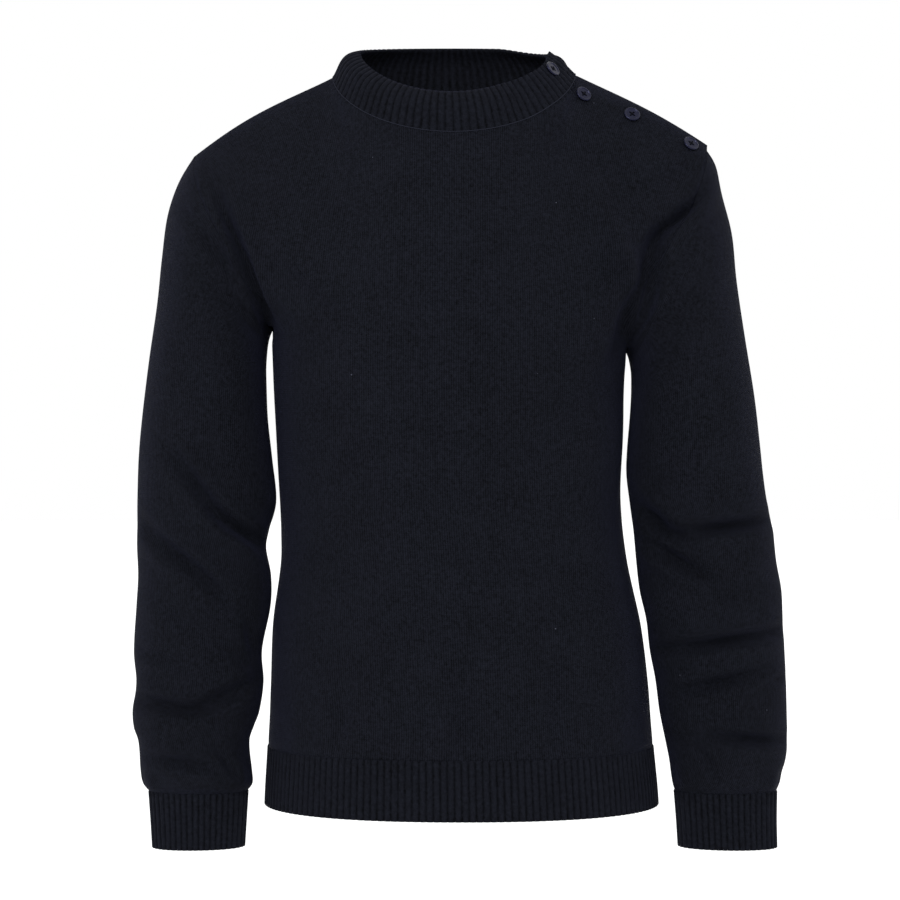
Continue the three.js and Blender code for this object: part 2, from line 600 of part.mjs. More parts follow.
function makePanel(face, bodyRows, chestRows) {
  const columns = panelColumns();
  const rows = [...evenSteps(-1, 0, bodyRows), ...evenSteps(0, 1, chestRows).slice(1)];
  const grid = rows.map((row) => columns.map((column) => panelOuter(face, column, row)));
  return clothWall({
    columns: columns.length - 1,
    rows: rows.length - 1,
    outer: (i, j) => grid[j][i].point,
    inner: (i, j) => grid[j][i].point.clone().addScaledVector(grid[j][i].normal, -WALL),
  });
}

// The strip under the front's lap, which continues the back's shoulder forwards
function makeButtonStand() {
  const columns = panelColumns().filter((column) => column >= neckColumn(STAND_START_ANGLE) - 1e-6);
  const rows = evenSteps(1 - STAND_ROWS / FRONT_CHEST_ROWS, 1, STAND_ROWS);
  const at = (column, row) => panelPoint(-1, column, row);
  return clothWall({
    columns: columns.length - 1,
    rows: STAND_ROWS,
    outer: (i, j) => at(columns[i], rows[j]),
    inner: (i, j) => at(columns[i], rows[j]).addScaledVector(panelNormal(-1, columns[i], rows[j]), -WALL),
  });
}

// Values that part a curve into steps of equal length
function equalSteps(curve, from, to, count) {
  const samples = 2000;
  const lengths = [0];
  let last = curve(from);
  for (let i = 1; i <= samples; i += 1) {
    const next = curve(lerp(from, to, i / samples));
    lengths.push(lengths[i - 1] + next.distanceTo(last));
    last = next;
  }
  const steps = [from];
  let sample = 0;
  for (let i = 1; i < count; i += 1) {
    const wanted = (lengths[samples] * i) / count;
    while (lengths[sample + 1] < wanted) {
      sample += 1;
    }
    const share = (wanted - lengths[sample]) / (lengths[sample + 1] - lengths[sample]);
    steps.push(lerp(from, to, (sample + share) / samples));
  }
  steps.push(to);
  return steps;
}

// A ribbed wall: each rib is raised in the outer face over a plain inner face.
function ribbedWall({ steps, rows, wraps, surface, normal }) {
  const ribHeight = (i) => (i % 2 ? RIB_RELIEF : 0);
  return clothWall({
    columns: (steps.length - 1) / 2,
    rows: rows.length - 1,
    wraps,
    fine: 2,
    outer: (i, j) => surface(steps[i], rows[j]).addScaledVector(normal(steps[i], rows[j]), ribHeight(i)),
    inner: (i, j) => surface(steps[2 * i], rows[j]).addScaledVector(normal(steps[2 * i], rows[j]), -WALL),
  });
}

function makeHemHalf(face) {
  const surface = (column, z) => bodyPoint(face, column, z);
  const steps = equalSteps((column) => surface(column, HEM_JOIN), -1, 1, 2 * HEM_RIBS_EACH_HALF);
  const normal = (column, z) => {
    if (abs(column) === 1) {
      return new THREE.Vector3(sign(column), 0, 0);
    }
    const flat = (u, v) => bodyPoint(face, clamp(u, -1, 1), v);
    return surfaceNormal(flat, column, z, new THREE.Vector3(0, 0, z)).setZ(0).normalize();
  };
  return ribbedWall({ steps, rows: [HEM_BOTTOM, HEM_JOIN], wraps: false, surface, normal });
}

// A tube's section: angle 0 is its outer side, 90 its front, 180 its inner side.
function tubePoint(table, angle, position) {
  const turn = degToRad(angle);
  const at = (column) => columnAt(table, column, position);
  const power = 2 / SLEEVE_SQUARENESS;
  const out = sign(cos(turn)) * abs(cos(turn)) ** power;
  const forward = sign(sin(turn)) * abs(sin(turn)) ** power;
  const x = lerp(at('innerX'), at('outerX'), (out + 1) / 2);
  const z = lerp(at('innerZ'), at('outerZ'), (out + 1) / 2);
  return new THREE.Vector3(x, at('middleY') - at('halfDepth') * forward, z);
}

// The sleeve starts on its armhole's ring and turns into its own section further down.
function sleevePoint(armhole, table, angle, position) {
  const point = tubePoint(table, angle, position);
  const share = 1 - smoothstep(position, 0, 5);
  if (share > 0) {
    const turn = degToRad(angle);
    const face = sin(turn) > 0 ? -1 : 1;
    const head = armholePoint(armhole, face, (cos(turn) + 1) / 2);
    head.addScaledVector(armholeAcross(armhole), SEAM_GAP);
    point.add(head.sub(tubePoint(table, angle, 0)).multiplyScalar(share));
  }
  return point;
}

function makeSleeve(armhole, table, folds) {
  const last = table.length - 1;
  const positions = evenSteps(0, last, SLEEVE_ROWS);
  const angles = evenSteps(0, 360, SLEEVE_COLUMNS);
  const surface = (angle, position) => sleevePoint(armhole, table, angle, clamp(position, 0, last));
  const middle = (position) => surface(0, position).add(surface(180, position)).multiplyScalar(0.5);
  const outer = (angle, position) => {
    const point = surface(angle, position);
    const turn = degToRad(angle);
    const face = sin(turn) > 0 ? -1 : 1;
    if (position === 0) {
      return { point, normal: armholeNormal(armhole, face, (cos(turn) + 1) / 2) };
    }
    const normal = surfaceNormal((u, v) => surface(u * 90, v), angle / 90, position, middle(position));
    if (position === last) {
      normal.setZ(0).normalize();
    }
    const facing = smoothstep(abs(sin(turn)), 0, 0.6);
    const edge = smoothstep(position, 0, 3) * smoothstep(last - position, 0, 1.5);
    return { point: point.addScaledVector(normal, foldHeight(folds, face, point) * facing * edge), normal };
  };
  const grid = positions.map((position) => angles.map((angle) => outer(angle, position)));
  return clothWall({
    columns: SLEEVE_COLUMNS,
    rows: SLEEVE_ROWS,
    wraps: true,
    outer: (i, j) => grid[j][i].point,
    inner: (i, j) => grid[j][i].point.clone().addScaledVector(grid[j][i].normal, -WALL),
  });
}

function makeCuff(table) {
  const last = table.length - 1;
  const surface = (angle, position) => tubePoint(table, angle, clamp(position, 0, last));
  const steps = equalSteps((angle) => surface(angle, 1), 0, 360, 2 * CUFF_RIBS);
  const normal = (angle, position) => {
    const middle = surface(0, position).add(surface(180, position)).multiplyScalar(0.5);
    const direction = surfaceNormal((u, v) => surface(u * 90, v), angle / 90, position, middle);
    return direction.setZ(0).normalize();
  };
  return ribbedWall({ steps, rows: [0, last], wraps: true, surface, normal });
}

// The collar: height 0 stands on the neckline and 1 is its upper edge.
// Its front end is the outer layer of the lap, and its angle grows from there round the front.
function collarLap(angle) {
  if (angle >= 90) {
    return 1;
  }
  return angle > 0 ? lapShare(neckPoint(NECK, angle)) : 0;
}

function collarPoint(angle, height) {
  const base = neckStep((turn) => neckPoint(NECK, turn), angle);
  const top = neckPoint(COLLAR_TOP, angle);
  const up = top.clone().sub(base).normalize();
  return base.lerp(top, height).addScaledVector(up, COLLAR_SEAT_GAP * (1 - height));
}

function collarNormal(angle, height) {
  if (height === 0) {
    return neckStep(neckNormal, angle).normalize();
  }
  const inside = new THREE.Vector3(0, 0, collarPoint(angle, height).z);
  const upright = (u, v) => collarPoint(u * 90, clamp(v, 0, 1));
  return surfaceNormal(upright, angle / 90, height, inside);
}

function collarOuter(angle, height) {
  const lift = COLLAR_LAP_LIFT * collarLap(angle);
  return collarPoint(angle, height).addScaledVector(collarNormal(angle, height), lift);
}

function makeCollar() {
  const backEnd = COLLAR_BACK_END - 360;
  const steps = equalSteps((angle) => collarPoint(angle, 0.5), COLLAR_FRONT_END, backEnd, 2 * COLLAR_RIBS);
  return ribbedWall({
    steps,
    rows: evenSteps(0, 1, COLLAR_ROWS),
    wraps: false,
    surface: collarOuter,
    normal: collarNormal,
  });
}

// One button, its underside on z = 0, with its holes cut through
function makeButtonGeometry(wasm) {
  const toSolid = (geometry) => {
    geometry.deleteAttribute('normal');
    geometry.deleteAttribute('uv');
    const merged = mergeVertices(geometry, 1e-4);
    const vertProperties = merged.attributes.position.array;
    return new wasm.Manifold(new wasm.Mesh({ numProp: 3, vertProperties, triVerts: merged.index.array }));
  };
  const dishRadius = BUTTON_RADIUS - BUTTON_RIM;
  const dishZ = BUTTON_HEIGHT - BUTTON_DISH;
  const profile = [
    [0, 0],
    [BUTTON_RADIUS - 0.8, 0],
    [BUTTON_RADIUS, 0.8],
    [BUTTON_RADIUS, BUTTON_HEIGHT - 0.5],
    [BUTTON_RADIUS - 0.5, BUTTON_HEIGHT],
    [dishRadius + 0.3, BUTTON_HEIGHT],
    [dishRadius - 0.4, dishZ],
    [0, dishZ],
  ].map(([radius, z]) => new THREE.Vector2(radius, z));
  const disc = new THREE.LatheGeometry(profile, BUTTON_SIDES).rotateX(PI / 2);
  let solid = toSolid(disc);
  for (const [x, y] of [[1, 1], [1, -1], [-1, 1], [-1, -1]]) {
    const hole = new THREE.CylinderGeometry(
      BUTTON_HOLE_RADIUS, BUTTON_HOLE_RADIUS, 2 * BUTTON_HEIGHT + 2, BUTTON_HOLE_SIDES,
    );
    hole.rotateX(PI / 2).translate(x * BUTTON_HOLE_OFFSET, y * BUTTON_HOLE_OFFSET, 0);
    solid = solid.subtract(toSolid(hole));
  }
  const cut = solid.getMesh();
  const geometry = new THREE.BufferGeometry();
  geometry.setAttribute('position', new THREE.BufferAttribute(new Float32Array(cut.vertProperties), 3));
  geometry.setIndex(Array.from(cut.triVerts));
  geometry.computeVertexNormals();
  return geometry;
}

// The front's column and row whose point lies at x and z
function findOnFront(x, z) {
  let column = columnFor((x - TOP_MIDDLE) / TOP_HALF_WIDTH);
  let row = 0.9;
  const step = 0.002;
  for (let pass = 0; pass < 40; pass += 1) {
    const here = panelOuter(-1, column, row).point;
    const byColumn = panelOuter(-1, column + step, row).point.x - here.x;
    const byRow = panelOuter(-1, column, row + step).point.z - here.z;
    column = clamp(column + (0.7 * step * (x - here.x)) / byColumn, 0.3, 0.99);
    row = clamp(row + (0.7 * step * (z - here.z)) / byRow, 0.6, 0.99);
  }
  return { column, row };
}

function placeButton(name, geometry, point, normal) {
  const mesh = addPiece(name, geometry.clone(), button);
  mesh.quaternion.setFromUnitVectors(new THREE.Vector3(0, 0, 1), normal);
  mesh.position.copy(point).addScaledVector(normal, SEAM_GAP);
}

const sweater = new THREE.Group();
addPiece('front_panel', makePanel(-1, FRONT_BODY_ROWS, FRONT_CHEST_ROWS), knit);
addPiece('back_panel', makePanel(1, BACK_BODY_ROWS, BACK_CHEST_ROWS), knit);
addPiece('right_sleeve', makeSleeve(RIGHT_ARMHOLE, RIGHT_SLEEVE, RIGHT_SLEEVE_FOLDS), knit);
addPiece('left_sleeve', makeSleeve(LEFT_ARMHOLE, LEFT_SLEEVE, LEFT_SLEEVE_FOLDS), knit);
addPiece('right_cuff', makeCuff(RIGHT_CUFF), rib);
addPiece('left_cuff', makeCuff(LEFT_CUFF), rib);
addPiece('front_hem_rib', makeHemHalf(-1), rib);
addPiece('back_hem_rib', makeHemHalf(1), rib);
addPiece('collar', makeCollar(), rib);
addPiece('button_stand', makeButtonStand(), knit);

const wasm = await Module();
wasm.setup();
const buttonGeometry = makeButtonGeometry(wasm);
const collarSeat = collarOuter(COLLAR_BUTTON.angle, COLLAR_BUTTON.height);
const collarFacing = collarNormal(COLLAR_BUTTON.angle, COLLAR_BUTTON.height);
placeButton('button_1', buttonGeometry, collarSeat.addScaledVector(collarFacing, RIB_RELIEF), collarFacing);
SHOULDER_BUTTONS.forEach(({ x, z, lift }, index) => {
  const { column, row } = findOnFront(x, z);
  const { point, normal } = panelOuter(-1, column, row);
  placeButton(`button_${index + 2}`, buttonGeometry, point.addScaledVector(normal, lift), normal);
});

export default sweater;
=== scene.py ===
# The looks of a heavy navy knitted sweater with a ribbed collar and a buttoned left shoulder.
# Every cloth piece is a thin shell on its solid's form, with finer ribs, folds and gathers.
# Lengths in the tables are millimetres, and each finished mesh is in metres in the frame's place.

from math import asin, cos, exp, floor, hypot, pi, radians, sin, sqrt

import bmesh
import bpy
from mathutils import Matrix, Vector


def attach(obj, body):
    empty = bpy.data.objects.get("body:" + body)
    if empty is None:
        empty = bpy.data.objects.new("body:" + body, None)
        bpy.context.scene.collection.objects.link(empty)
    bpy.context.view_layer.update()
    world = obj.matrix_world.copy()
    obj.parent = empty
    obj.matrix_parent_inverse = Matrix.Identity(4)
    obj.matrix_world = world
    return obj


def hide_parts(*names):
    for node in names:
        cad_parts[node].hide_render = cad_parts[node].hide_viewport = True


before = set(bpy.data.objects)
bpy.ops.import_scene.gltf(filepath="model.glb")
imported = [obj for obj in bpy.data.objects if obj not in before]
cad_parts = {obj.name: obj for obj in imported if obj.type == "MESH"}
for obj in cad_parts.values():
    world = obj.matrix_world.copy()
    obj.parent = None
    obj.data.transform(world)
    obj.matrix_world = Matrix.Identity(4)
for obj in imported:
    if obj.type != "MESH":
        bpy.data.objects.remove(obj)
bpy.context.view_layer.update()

MM = 0.001

# Driving dimensions, the same as the solids have
WALL = 2.6
SEAM_GAP = 0.05
RIB_RELIEF = 0.8
RIB_FULLNESS = 1.55
RIB_ROUNDNESS = 0.75
RIB_VALLEY = 0.3
HEM_JOIN = -611
HEM_BOTTOM = -663
HEM_RIBS_EACH_HALF = 80
CUFF_RIBS = 42
COLLAR_RIBS = 88
BODY_SQUARENESS = 2.25
SLEEVE_SQUARENESS = 2.1

# The body's section at each height: z, right, left, front, back
BODY = [
    (-664, 174, 186, 128, 128),
    (-607, 171, 181, 126, 124),
    (-552, 169, 177, 122, 118),
    (-497, 167, 170, 117, 110),
    (-442, 160, 158, 113, 102),
    (-386, 161, 152, 112, 98),
    (-330, 164, 154, 114, 100),
    (-270, 167, 156, 117, 109),
    (-225, 168, 158, 118, 113),
]

RIGHT_ARMHOLE = dict(side=-1, shoulder_x=-240, shoulder_z=-70, armpit_x=-168, armpit_z=-230,
                     front=62, back=68, front_high=8, front_low=0, back_bow=5, shoulder_bow=6)
LEFT_ARMHOLE = dict(side=1, shoulder_x=230, shoulder_z=-62, armpit_x=157, armpit_z=-249,
                    front=62, back=68, front_high=9, front_low=-10, back_bow=5, shoulder_bow=3.5)

NECK = dict(middle_x=-2, half_width=110, front=76, back=74, side_z=3, front_drop=60, back_drop=1)
COLLAR_TOP = dict(middle_x=-3.5, half_width=83.5, front=68, back=68, side_z=27, front_drop=47,
                  back_drop=-14)
NECK_DROP_POWER = 1.15

LAP_LIFT = 3.2
COLLAR_LAP_LIFT = 3.7
LAP_REACH = 58
LAP_REACH_AT_ARMHOLE = 14
LAP_FADE = 30
COLLAR_FRONT_END = 95
COLLAR_BACK_END = 79
COLLAR_ROLL = 6
COLLAR_ROLL_AT_BUTTON = 0.9
COLLAR_SIDE_DROP = 0.14
COLLAR_END_ROUNDING = 0.12
LINKING_RADIUS = 0.5
LINKING_SIDES = 8
LINKING_STEPS = 420
LINKING_OFFSET = 0.55
RIDGE_RADIUS = 9
RIDGE_REACH = 30
FRONT_DRAPE = dict(neck_ridge=0, ridge_fade=45, edge_reach=22, steepness=1.3, neck_steepness=0.3)
BACK_DRAPE = dict(neck_ridge=80, ridge_fade=100, edge_reach=40, steepness=1.7, neck_steepness=1)
CROWN_RISE = 30
CROWN_DEPTH = 54
CROWN_NARROWING = 1.1

# Sleeve sections from the armhole to the cuff: outer x and z, inner x and z, middle y, half depth
RIGHT_SLEEVE = [
    (-240, -70, -168, -230, 3, 65),
    (-254, -94, -170.5, -236, 2, 65),
    (-264, -125, -172, -243, 0, 64),
    (-269, -165, -173, -252, -2, 64),
    (-273, -207, -173.5, -264, -5, 62),
    (-280, -258, -173, -281, -8, 60),
    (-286, -310, -171.5, -312, -11, 57),
    (-289, -347, -167.5, -347, -13, 54),
    (-290, -386, -163.5, -386, -15, 51),
    (-290, -414, -170, -413, -16, 49),
    (-290, -430, -172.5, -430, -17, 48),
    (-289, -455, -168, -455, -18, 47),
    (-290.5, -483, -168.5, -483, -19, 45),
    (-292.5, -522, -176, -522, -21, 43),
    (-290, -551, -174.5, -551, -23, 42),
    (-293, -575, -178, -577, -25, 41),
    (-292, -591, -183, -591, -26, 40),
    (-287.5, -605, -187, -605, -27, 39),
    (-285.5, -630, -185, -630, -28, 37),
    (-283, -642, -184.5, -642, -29, 33),
    (-277.5, -649, -188.5, -649, -29, 27),
]
LEFT_SLEEVE = [
    (230, -62, 157, -249, 3, 65),
    (239.5, -78, 159.5, -255, 2, 65),
    (245, -105, 161, -262, 0, 64),
    (254, -142, 162, -270, -2, 64),
    (258, -185, 162, -280, -5, 62),
    (265, -235, 161.5, -293, -8, 60),
    (273.5, -290, 160, -312, -11, 58),
    (278.5, -335, 157.5, -340, -13, 56),
    (281, -360, 156.8, -362, -14, 54),
    (284.5, -386, 159.5, -386, -15, 51),
    (290, -413, 163, -413, -16, 49),
    (293, -441, 165.5, -441, -17, 48),
    (297.5, -468, 168.5, -468, -19, 46),
    (298.5, -495, 174.5, -495, -20, 45),
    (300, -522, 177.5, -522, -21, 43),
    (301, -549, 182.5, -549, -23, 42),
    (301.5, -577, 186, -577, -25, 41),
    (301.5, -605, 191.5, -605, -27, 39),
    (300, -620, 194.5, -620, -28, 38),
    (296.5, -632, 196.5, -632, -28, 36),
    (294.5, -641, 198, -641, -29, 33),
    (291.5, -649, 199.5, -649, -29, 27),
]
RIGHT_CUFF = [
    (-277.5, -649.3, -188.5, -649.3, -29, 27),
    (-275.5, -675, -190, -675, -30, 26),
    (-274, -700, -191.5, -699, -30, 26),
]
LEFT_CUFF = [
    (291.5, -649.3, 199.5, -649.3, -29, 27),
    (291, -675, 201.5, -675, -30, 26),
    (291.5, -700, 203, -699, -30, 26),
]

# Folds: face (-1 front, 1 back), from x and z, to x and z, width, height. Troughs are negative.
BODY_FOLDS = [
    (-1, -158, -178, -120, -215, 16, -3),
    (-1, 178, -150, 148, -246, 13, -6),
    (-1, 138, -140, 168, -205, 20, 3.5),
    (-1, -40, -330, -120, -380, 34, -2.5),
    (-1, 60, -350, 128, -300, 34, -2.5),
    (-1, 92, -600, 86, -520, 16, -2.2),
    (-1, -104, -600, -98, -540, 16, -2.2),
    (-1, 10, -600, 6, -548, 18, -1.8),
    (1, -184, -110, -150, -215, 15, -5),
    (1, 176, -110, 140, -225, 15, -5),
    (1, -110, -420, 70, -436, 26, -4),
    (1, -60, -478, 120, -458, 24, -3.5),
    (1, -70, -600, -76, -530, 17, -2.4),
    (1, 56, -600, 50, -536, 17, -2.4),
    (-1, -150, -196, -138, -214, 7, -1.6),
    (-1, -140, -440, -90, -452, 20, -1.3),
    (-1, 136, -470, 96, -452, 20, -1.3),
    (1, -130, -300, -40, -330, 24, -2),
    (1, 110, -360, 30, -380, 24, -2),
]
RIGHT_SLEEVE_FOLDS = [
    (-1, -222, -128, -190, -186, 10, -4),
    (-1, -245, -354, -209, -400, 12, -5.5),
    (-1, -209, -400, -172, -426, 11, -6.2),
    (-1, -274, -414, -222, -458, 12, -5),
    (-1, -284, -565, -232, -573, 11, -4.6),
    (-1, -236, -573, -180, -550, 12, -4.6),
    (-1, -268, -617, -226, -622, 9, -3.5),
    (-1, -236, -440, -206, -470, 9, -2.2),
    (-1, -280, -520, -244, -534, 10, -1.8),
    (-1, -200, -520, -180, -540, 10, -1.5),
    (1, -240, -180, -200, -250, 16, -5),
    (1, -282, -372, -190, -408, 13, -5),
    (1, -280, -440, -185, -428, 12, -5),
    (1, -276, -545, -196, -572, 12, -4),
    (1, -270, -606, -205, -600, 10, -3.5),
    (-1, -219, -150, -192, -190, 7, -2),
    (-1, -186, -494, -180, -530, 9, -1.8),
    (-1, -212, -608, -198, -630, 7, -1.8),
    (-1, -262, -480, -230, -500, 12, -1.4),
    (1, -262, -300, -206, -322, 14, -2.5),
]
LEFT_SLEEVE_FOLDS = [
    (-1, 205, -105, 184, -150, 11, -4),
    (-1, 204, -414, 286, -403, 11, -6.5),
    (-1, 166, -421, 216, -450, 11, -7),
    (-1, 162, -394, 192, -418, 17, -9),
    (-1, 192, -519, 288, -504, 10, -6),
    (-1, 207, -555, 268, -540, 10, -5),
    (-1, 236, -596, 294, -601, 9, -5),
    (-1, 222, -470, 262, -478, 10, -2),
    (1, 236, -180, 196, -262, 16, -5),
    (1, 276, -380, 186, -414, 13, -5),
    (1, 284, -452, 186, -436, 12, -5),
    (1, 290, -540, 206, -560, 12, -4),
    (1, 284, -600, 214, -612, 10, -3.5),
    (-1, 284, -548, 298, -546, 7, -1.8),
    (-1, 216, -604, 232, -628, 7, -1.8),
    (-1, 240, -460, 280, -470, 12, -1.4),
    (1, 258, -300, 200, -326, 14, -2.5),
]
# Folds that cross an armhole seam, in the same columns as the other fold tables
SHOULDER_FOLDS = [
    (-1, 219, -112, 180, -150, 11, -10),
    (-1, 214, -118, 186, -140, 6, -4),
    (-1, 184, -146, 171, -210, 12, -8),
    (-1, 150, -156, 160, -206, 15, 4),
    (-1, -211, -116, -194, -158, 9, -8),
    (-1, -194, -156, -177, -203, 9, -10.5),
    (-1, -179, -199, -166, -228, 9, -6.5),
    (-1, -238, -131, -195, -186, 11, -4),
    (1, 224, -120, 190, -190, 16, -4),
    (1, -228, -120, -196, -184, 16, -4),
]

# A fold's height is multiplied by the gain and its width by the sharpness, and folds fade near edges.
FOLD_GAIN = 1.7
FOLD_SHARPNESS = 0.7
FOLD_EDGE = 14
# A fold is cut off this many widths from its line, and starts and ends at this share of its height.
FOLD_REACH = 3.2
FOLD_END_SHARE = 0.45

# Gathers where the cloth runs into the ribs
HEM_GATHER = 1.1
HEM_GATHER_REACH = 62
HEM_BLOUSE = 1.1
CUFF_GATHER = 1.3
CUFF_GATHER_REACH = 34
CUFF_GATHER_TURN = 41
FACE_SHIFT = 40

# How finely each piece is made
PANEL_COLUMNS = 156
COLUMN_EVENNESS = 0.55
BODY_ROWS = 104
CHEST_ROWS = 96
SLEEVE_COLUMNS = 2 * CHEST_ROWS
SLEEVE_ROWS = 220
STAND_ROWS = 18
COLLAR_ROWS = 14
RIB_POINTS = 8
RIB_ROWS = 10

# Cloth runs on smoothly across the armhole seams and the armpits' level, rounded this far each way.
ROUNDING_REACH = 46
ROUNDING = 13
ARMPIT_ROWS = 24
SEAM_COLUMNS = 26
SEAM_ROWS = 22
SLEEVE_HEAD = 5
NECK_POINT_FADE_ROWS = 14

# Ribs are tucked this far under the plain knit that they are linked to.
TUCK_DEPTH = 4
TUCK_INWARDS = 2

# Knit pitch: a wale is a column of stitches and a course is a row of them.
BODY_WALE = 2.1
SLEEVE_WALE = 1.9
COURSE = 1.7
RIB_COURSE = 1.5
SEAM_WIDTH = 1.3
FAR_FROM_SEAM = 100.0
STITCH_SLANT = 0.7

# Colours, and how much darker the ribs' colour is made
CLOTH = (0.0039, 0.0044, 0.0069)
RIB_SHADE = 0.84
LINT = (0.045, 0.048, 0.066)
LINKING_DARK = (0.003, 0.0034, 0.0056)
LINKING_LIGHT = (0.02, 0.022, 0.034)
THREAD_DARK = (0.0012, 0.0014, 0.0024)
THREAD_LIGHT = (0.005, 0.0055, 0.009)
BUTTON_DARK = (0.0024, 0.0026, 0.007)
BUTTON_LIGHT = (0.005, 0.0055, 0.014)
BUTTON_TINT = (0.55, 0.57, 1.0)
NAP_TINT = (0.42, 0.46, 1.0)
SIDE_LIGHT = (0.86, 0.88, 1)
WHITE = (1, 1, 1)

# The wool's darkest and lightest tones as shares of its colour, and how strongly each pattern moves it
DARKEST = 0.25
LIGHTEST = 1.95
# The stitch tone is painted shade, darker in the valleys between stitches and between ribs
STITCH_SHADE_TONE = 0.6
WOOL_TONE = 1.7
NAP_TONE = 0.9
MOTTLE_TONE = 0.35
SEAM_TONE = 0.14
STITCH_DEPTH = 0.6
NAP_BUMP = 0.5
SEAM_BUMP = 0.6
NAP_SCALE = 1100.0
WOOL_SCALE = 330.0
MOTTLE_SCALE = 24.0
LINT_SCALE = 26.0
LINT_SIZE = 0.016

# A button's outline, as radius and height: flat back, round edge, rim, and the dished face inside it
BUTTON_PROFILE = [(0.4, 0), (6.4, 0), (7.1, 0.25), (7.5, 0.9), (7.5, 1.65), (7.3, 2.15), (6.9, 2.45),
                  (6.4, 2.5), (6.0, 2.35), (5.7, 2.0), (5.5, 1.8)]
DISH_RADIUS, DISH_Z = BUTTON_PROFILE[-1]
BUTTON_HEIGHT = 2.5
BUTTON_HOLE_RADIUS = 0.85
BUTTON_HOLE_DEPTH = 1.5
BUTTON_HOLE_OFFSET = 1.8
HOLE_CORNERS = ((1, 1), (1, -1), (-1, 1), (-1, -1))
BUTTON_SIDES = 72
THREAD_RADIUS = 0.2
THREAD_SIDES = 6
THREAD_SPACING = 0.32
THREAD_RISE = 0.55
THREAD_DIP = 1.3
THREAD_STEPS = 10
HOLE_SIDES = 20
# A direction that no tube runs in
UNLIKE_ANY_TUBE = Vector((0.12, -0.35, 0.93))


def clamp(value, low, high):
    return max(low, min(high, value))


def lerp(low, high, share):
    return low + (high - low) * share


def smooth(value, low, high):
    share = clamp((value - low) / (high - low), 0, 1)
    return share * share * (3 - 2 * share)


def column_at(rows, column, position):
    """A smooth curve through one column of a table, read at a row number that may be a fraction"""
    start = clamp(floor(position), 0, len(rows) - 2)
    before = rows[max(start - 1, 0)][column]
    here = rows[start][column]
    following = rows[start + 1][column]
    after = rows[min(start + 2, len(rows) - 1)][column]
    share = position - start
    slope_here = (following - before) / 2
    slope_next = (after - here) / 2
    bend = 2 * (here - following) + slope_here + slope_next
    return here + share * (slope_here + share * (following - here - slope_here + (share - 1) * bend))


def body_row_at(z):
    start = 0
    while start < len(BODY) - 2 and BODY[start + 1][0] < z:
        start += 1
    return start + (z - BODY[start][0]) / (BODY[start + 1][0] - BODY[start][0])


def signed_power(value, power):
    return abs(value) ** power if value >= 0 else -(abs(value) ** power)


def across_share(column):
    return signed_power(sin(column * pi / 2), 2 / BODY_SQUARENESS)


def column_for(across):
    turn = asin(min(abs(across), 1) ** (BODY_SQUARENESS / 2))
    return (turn if across >= 0 else -turn) * 2 / pi


def depth_share(column):
    return max(cos(column * pi / 2), 0) ** (2 / BODY_SQUARENESS)


def body_point(face, column, z):
    row = body_row_at(z)
    right = column_at(BODY, 1, row)
    left = column_at(BODY, 2, row)
    depth = column_at(BODY, 3 if face < 0 else 4, row)
    x = (left - right) / 2 + (left + right) / 2 * across_share(column)
    return Vector((x, face * (depth * depth_share(column) + SEAM_GAP / 2), z))


def armhole_bow(armhole, face, height):
    high = armhole["front_high"] if face < 0 else armhole["back_bow"]
    low = armhole["front_low"] if face < 0 else 0
    high_share = 6.75 * height * height * (1 - height)
    low_share = 6.75 * height * (1 - height) * (1 - height)
    return armhole["side"] * (high * high_share + low * low_share)


def armhole_depth(armhole, face, height):
    depth = armhole["front"] if face < 0 else armhole["back"]
    rounded = 2 * sqrt(max(height * (1 - height), 0))
    return face * depth * rounded ** (1.4 if height > 0.5 else 1)


def armhole_point(armhole, face, height):
    x = lerp(armhole["armpit_x"], armhole["shoulder_x"], height) + armhole_bow(armhole, face, height)
    z = lerp(armhole["armpit_z"], armhole["shoulder_z"], height)
    return Vector((x, armhole_depth(armhole, face, height), z))


def neck_point(ring, angle):
    turn = radians(angle)
    forward = cos(turn)
    x = ring["middle_x"] + ring["half_width"] * sin(turn)
    if forward > 0:
        drop = ring["front_drop"] * forward ** NECK_DROP_POWER
        return Vector((x, -ring["front"] * forward, ring["side_z"] - drop))
    return Vector((x, -ring["back"] * forward, ring["side_z"] + ring["back_drop"] * forward))


TOP_MIDDLE = (RIGHT_ARMHOLE["shoulder_x"] + LEFT_ARMHOLE["shoulder_x"]) / 2
TOP_HALF_WIDTH = (LEFT_ARMHOLE["shoulder_x"] - RIGHT_ARMHOLE["shoulder_x"]) / 2


def shoulder_point(armhole, share):
    neck_x = NECK["middle_x"] + armhole["side"] * NECK["half_width"]
    x = lerp(neck_x, armhole["shoulder_x"], share)
    bow = armhole["shoulder_bow"] * sin(pi * max(share, 0) ** 1.3)
    return Vector((x, 0, lerp(NECK["side_z"], armhole["shoulder_z"], share) + bow))


def side_armhole(column):
    return RIGHT_ARMHOLE if column < 0 else LEFT_ARMHOLE


def upper_edge_point(face, column):
    x = TOP_MIDDLE + TOP_HALF_WIDTH * across_share(column)
    neck_share = (x - NECK["middle_x"]) / NECK["half_width"]
    if abs(neck_share) < 1:
        turn = asin(neck_share) * 180 / pi
        point = neck_point(NECK, turn if face < 0 else 180 - turn)
    else:
        armhole = side_armhole(column)
        neck_x = NECK["middle_x"] + armhole["side"] * NECK["half_width"]
        point = shoulder_point(armhole, (x - neck_x) / (armhole["shoulder_x"] - neck_x))
    point.y += face * SEAM_GAP / 2
    return point


def armpit_level(column):
    share = (across_share(column) + 1) / 2
    return lerp(RIGHT_ARMHOLE["armpit_z"], LEFT_ARMHOLE["armpit_z"], share)


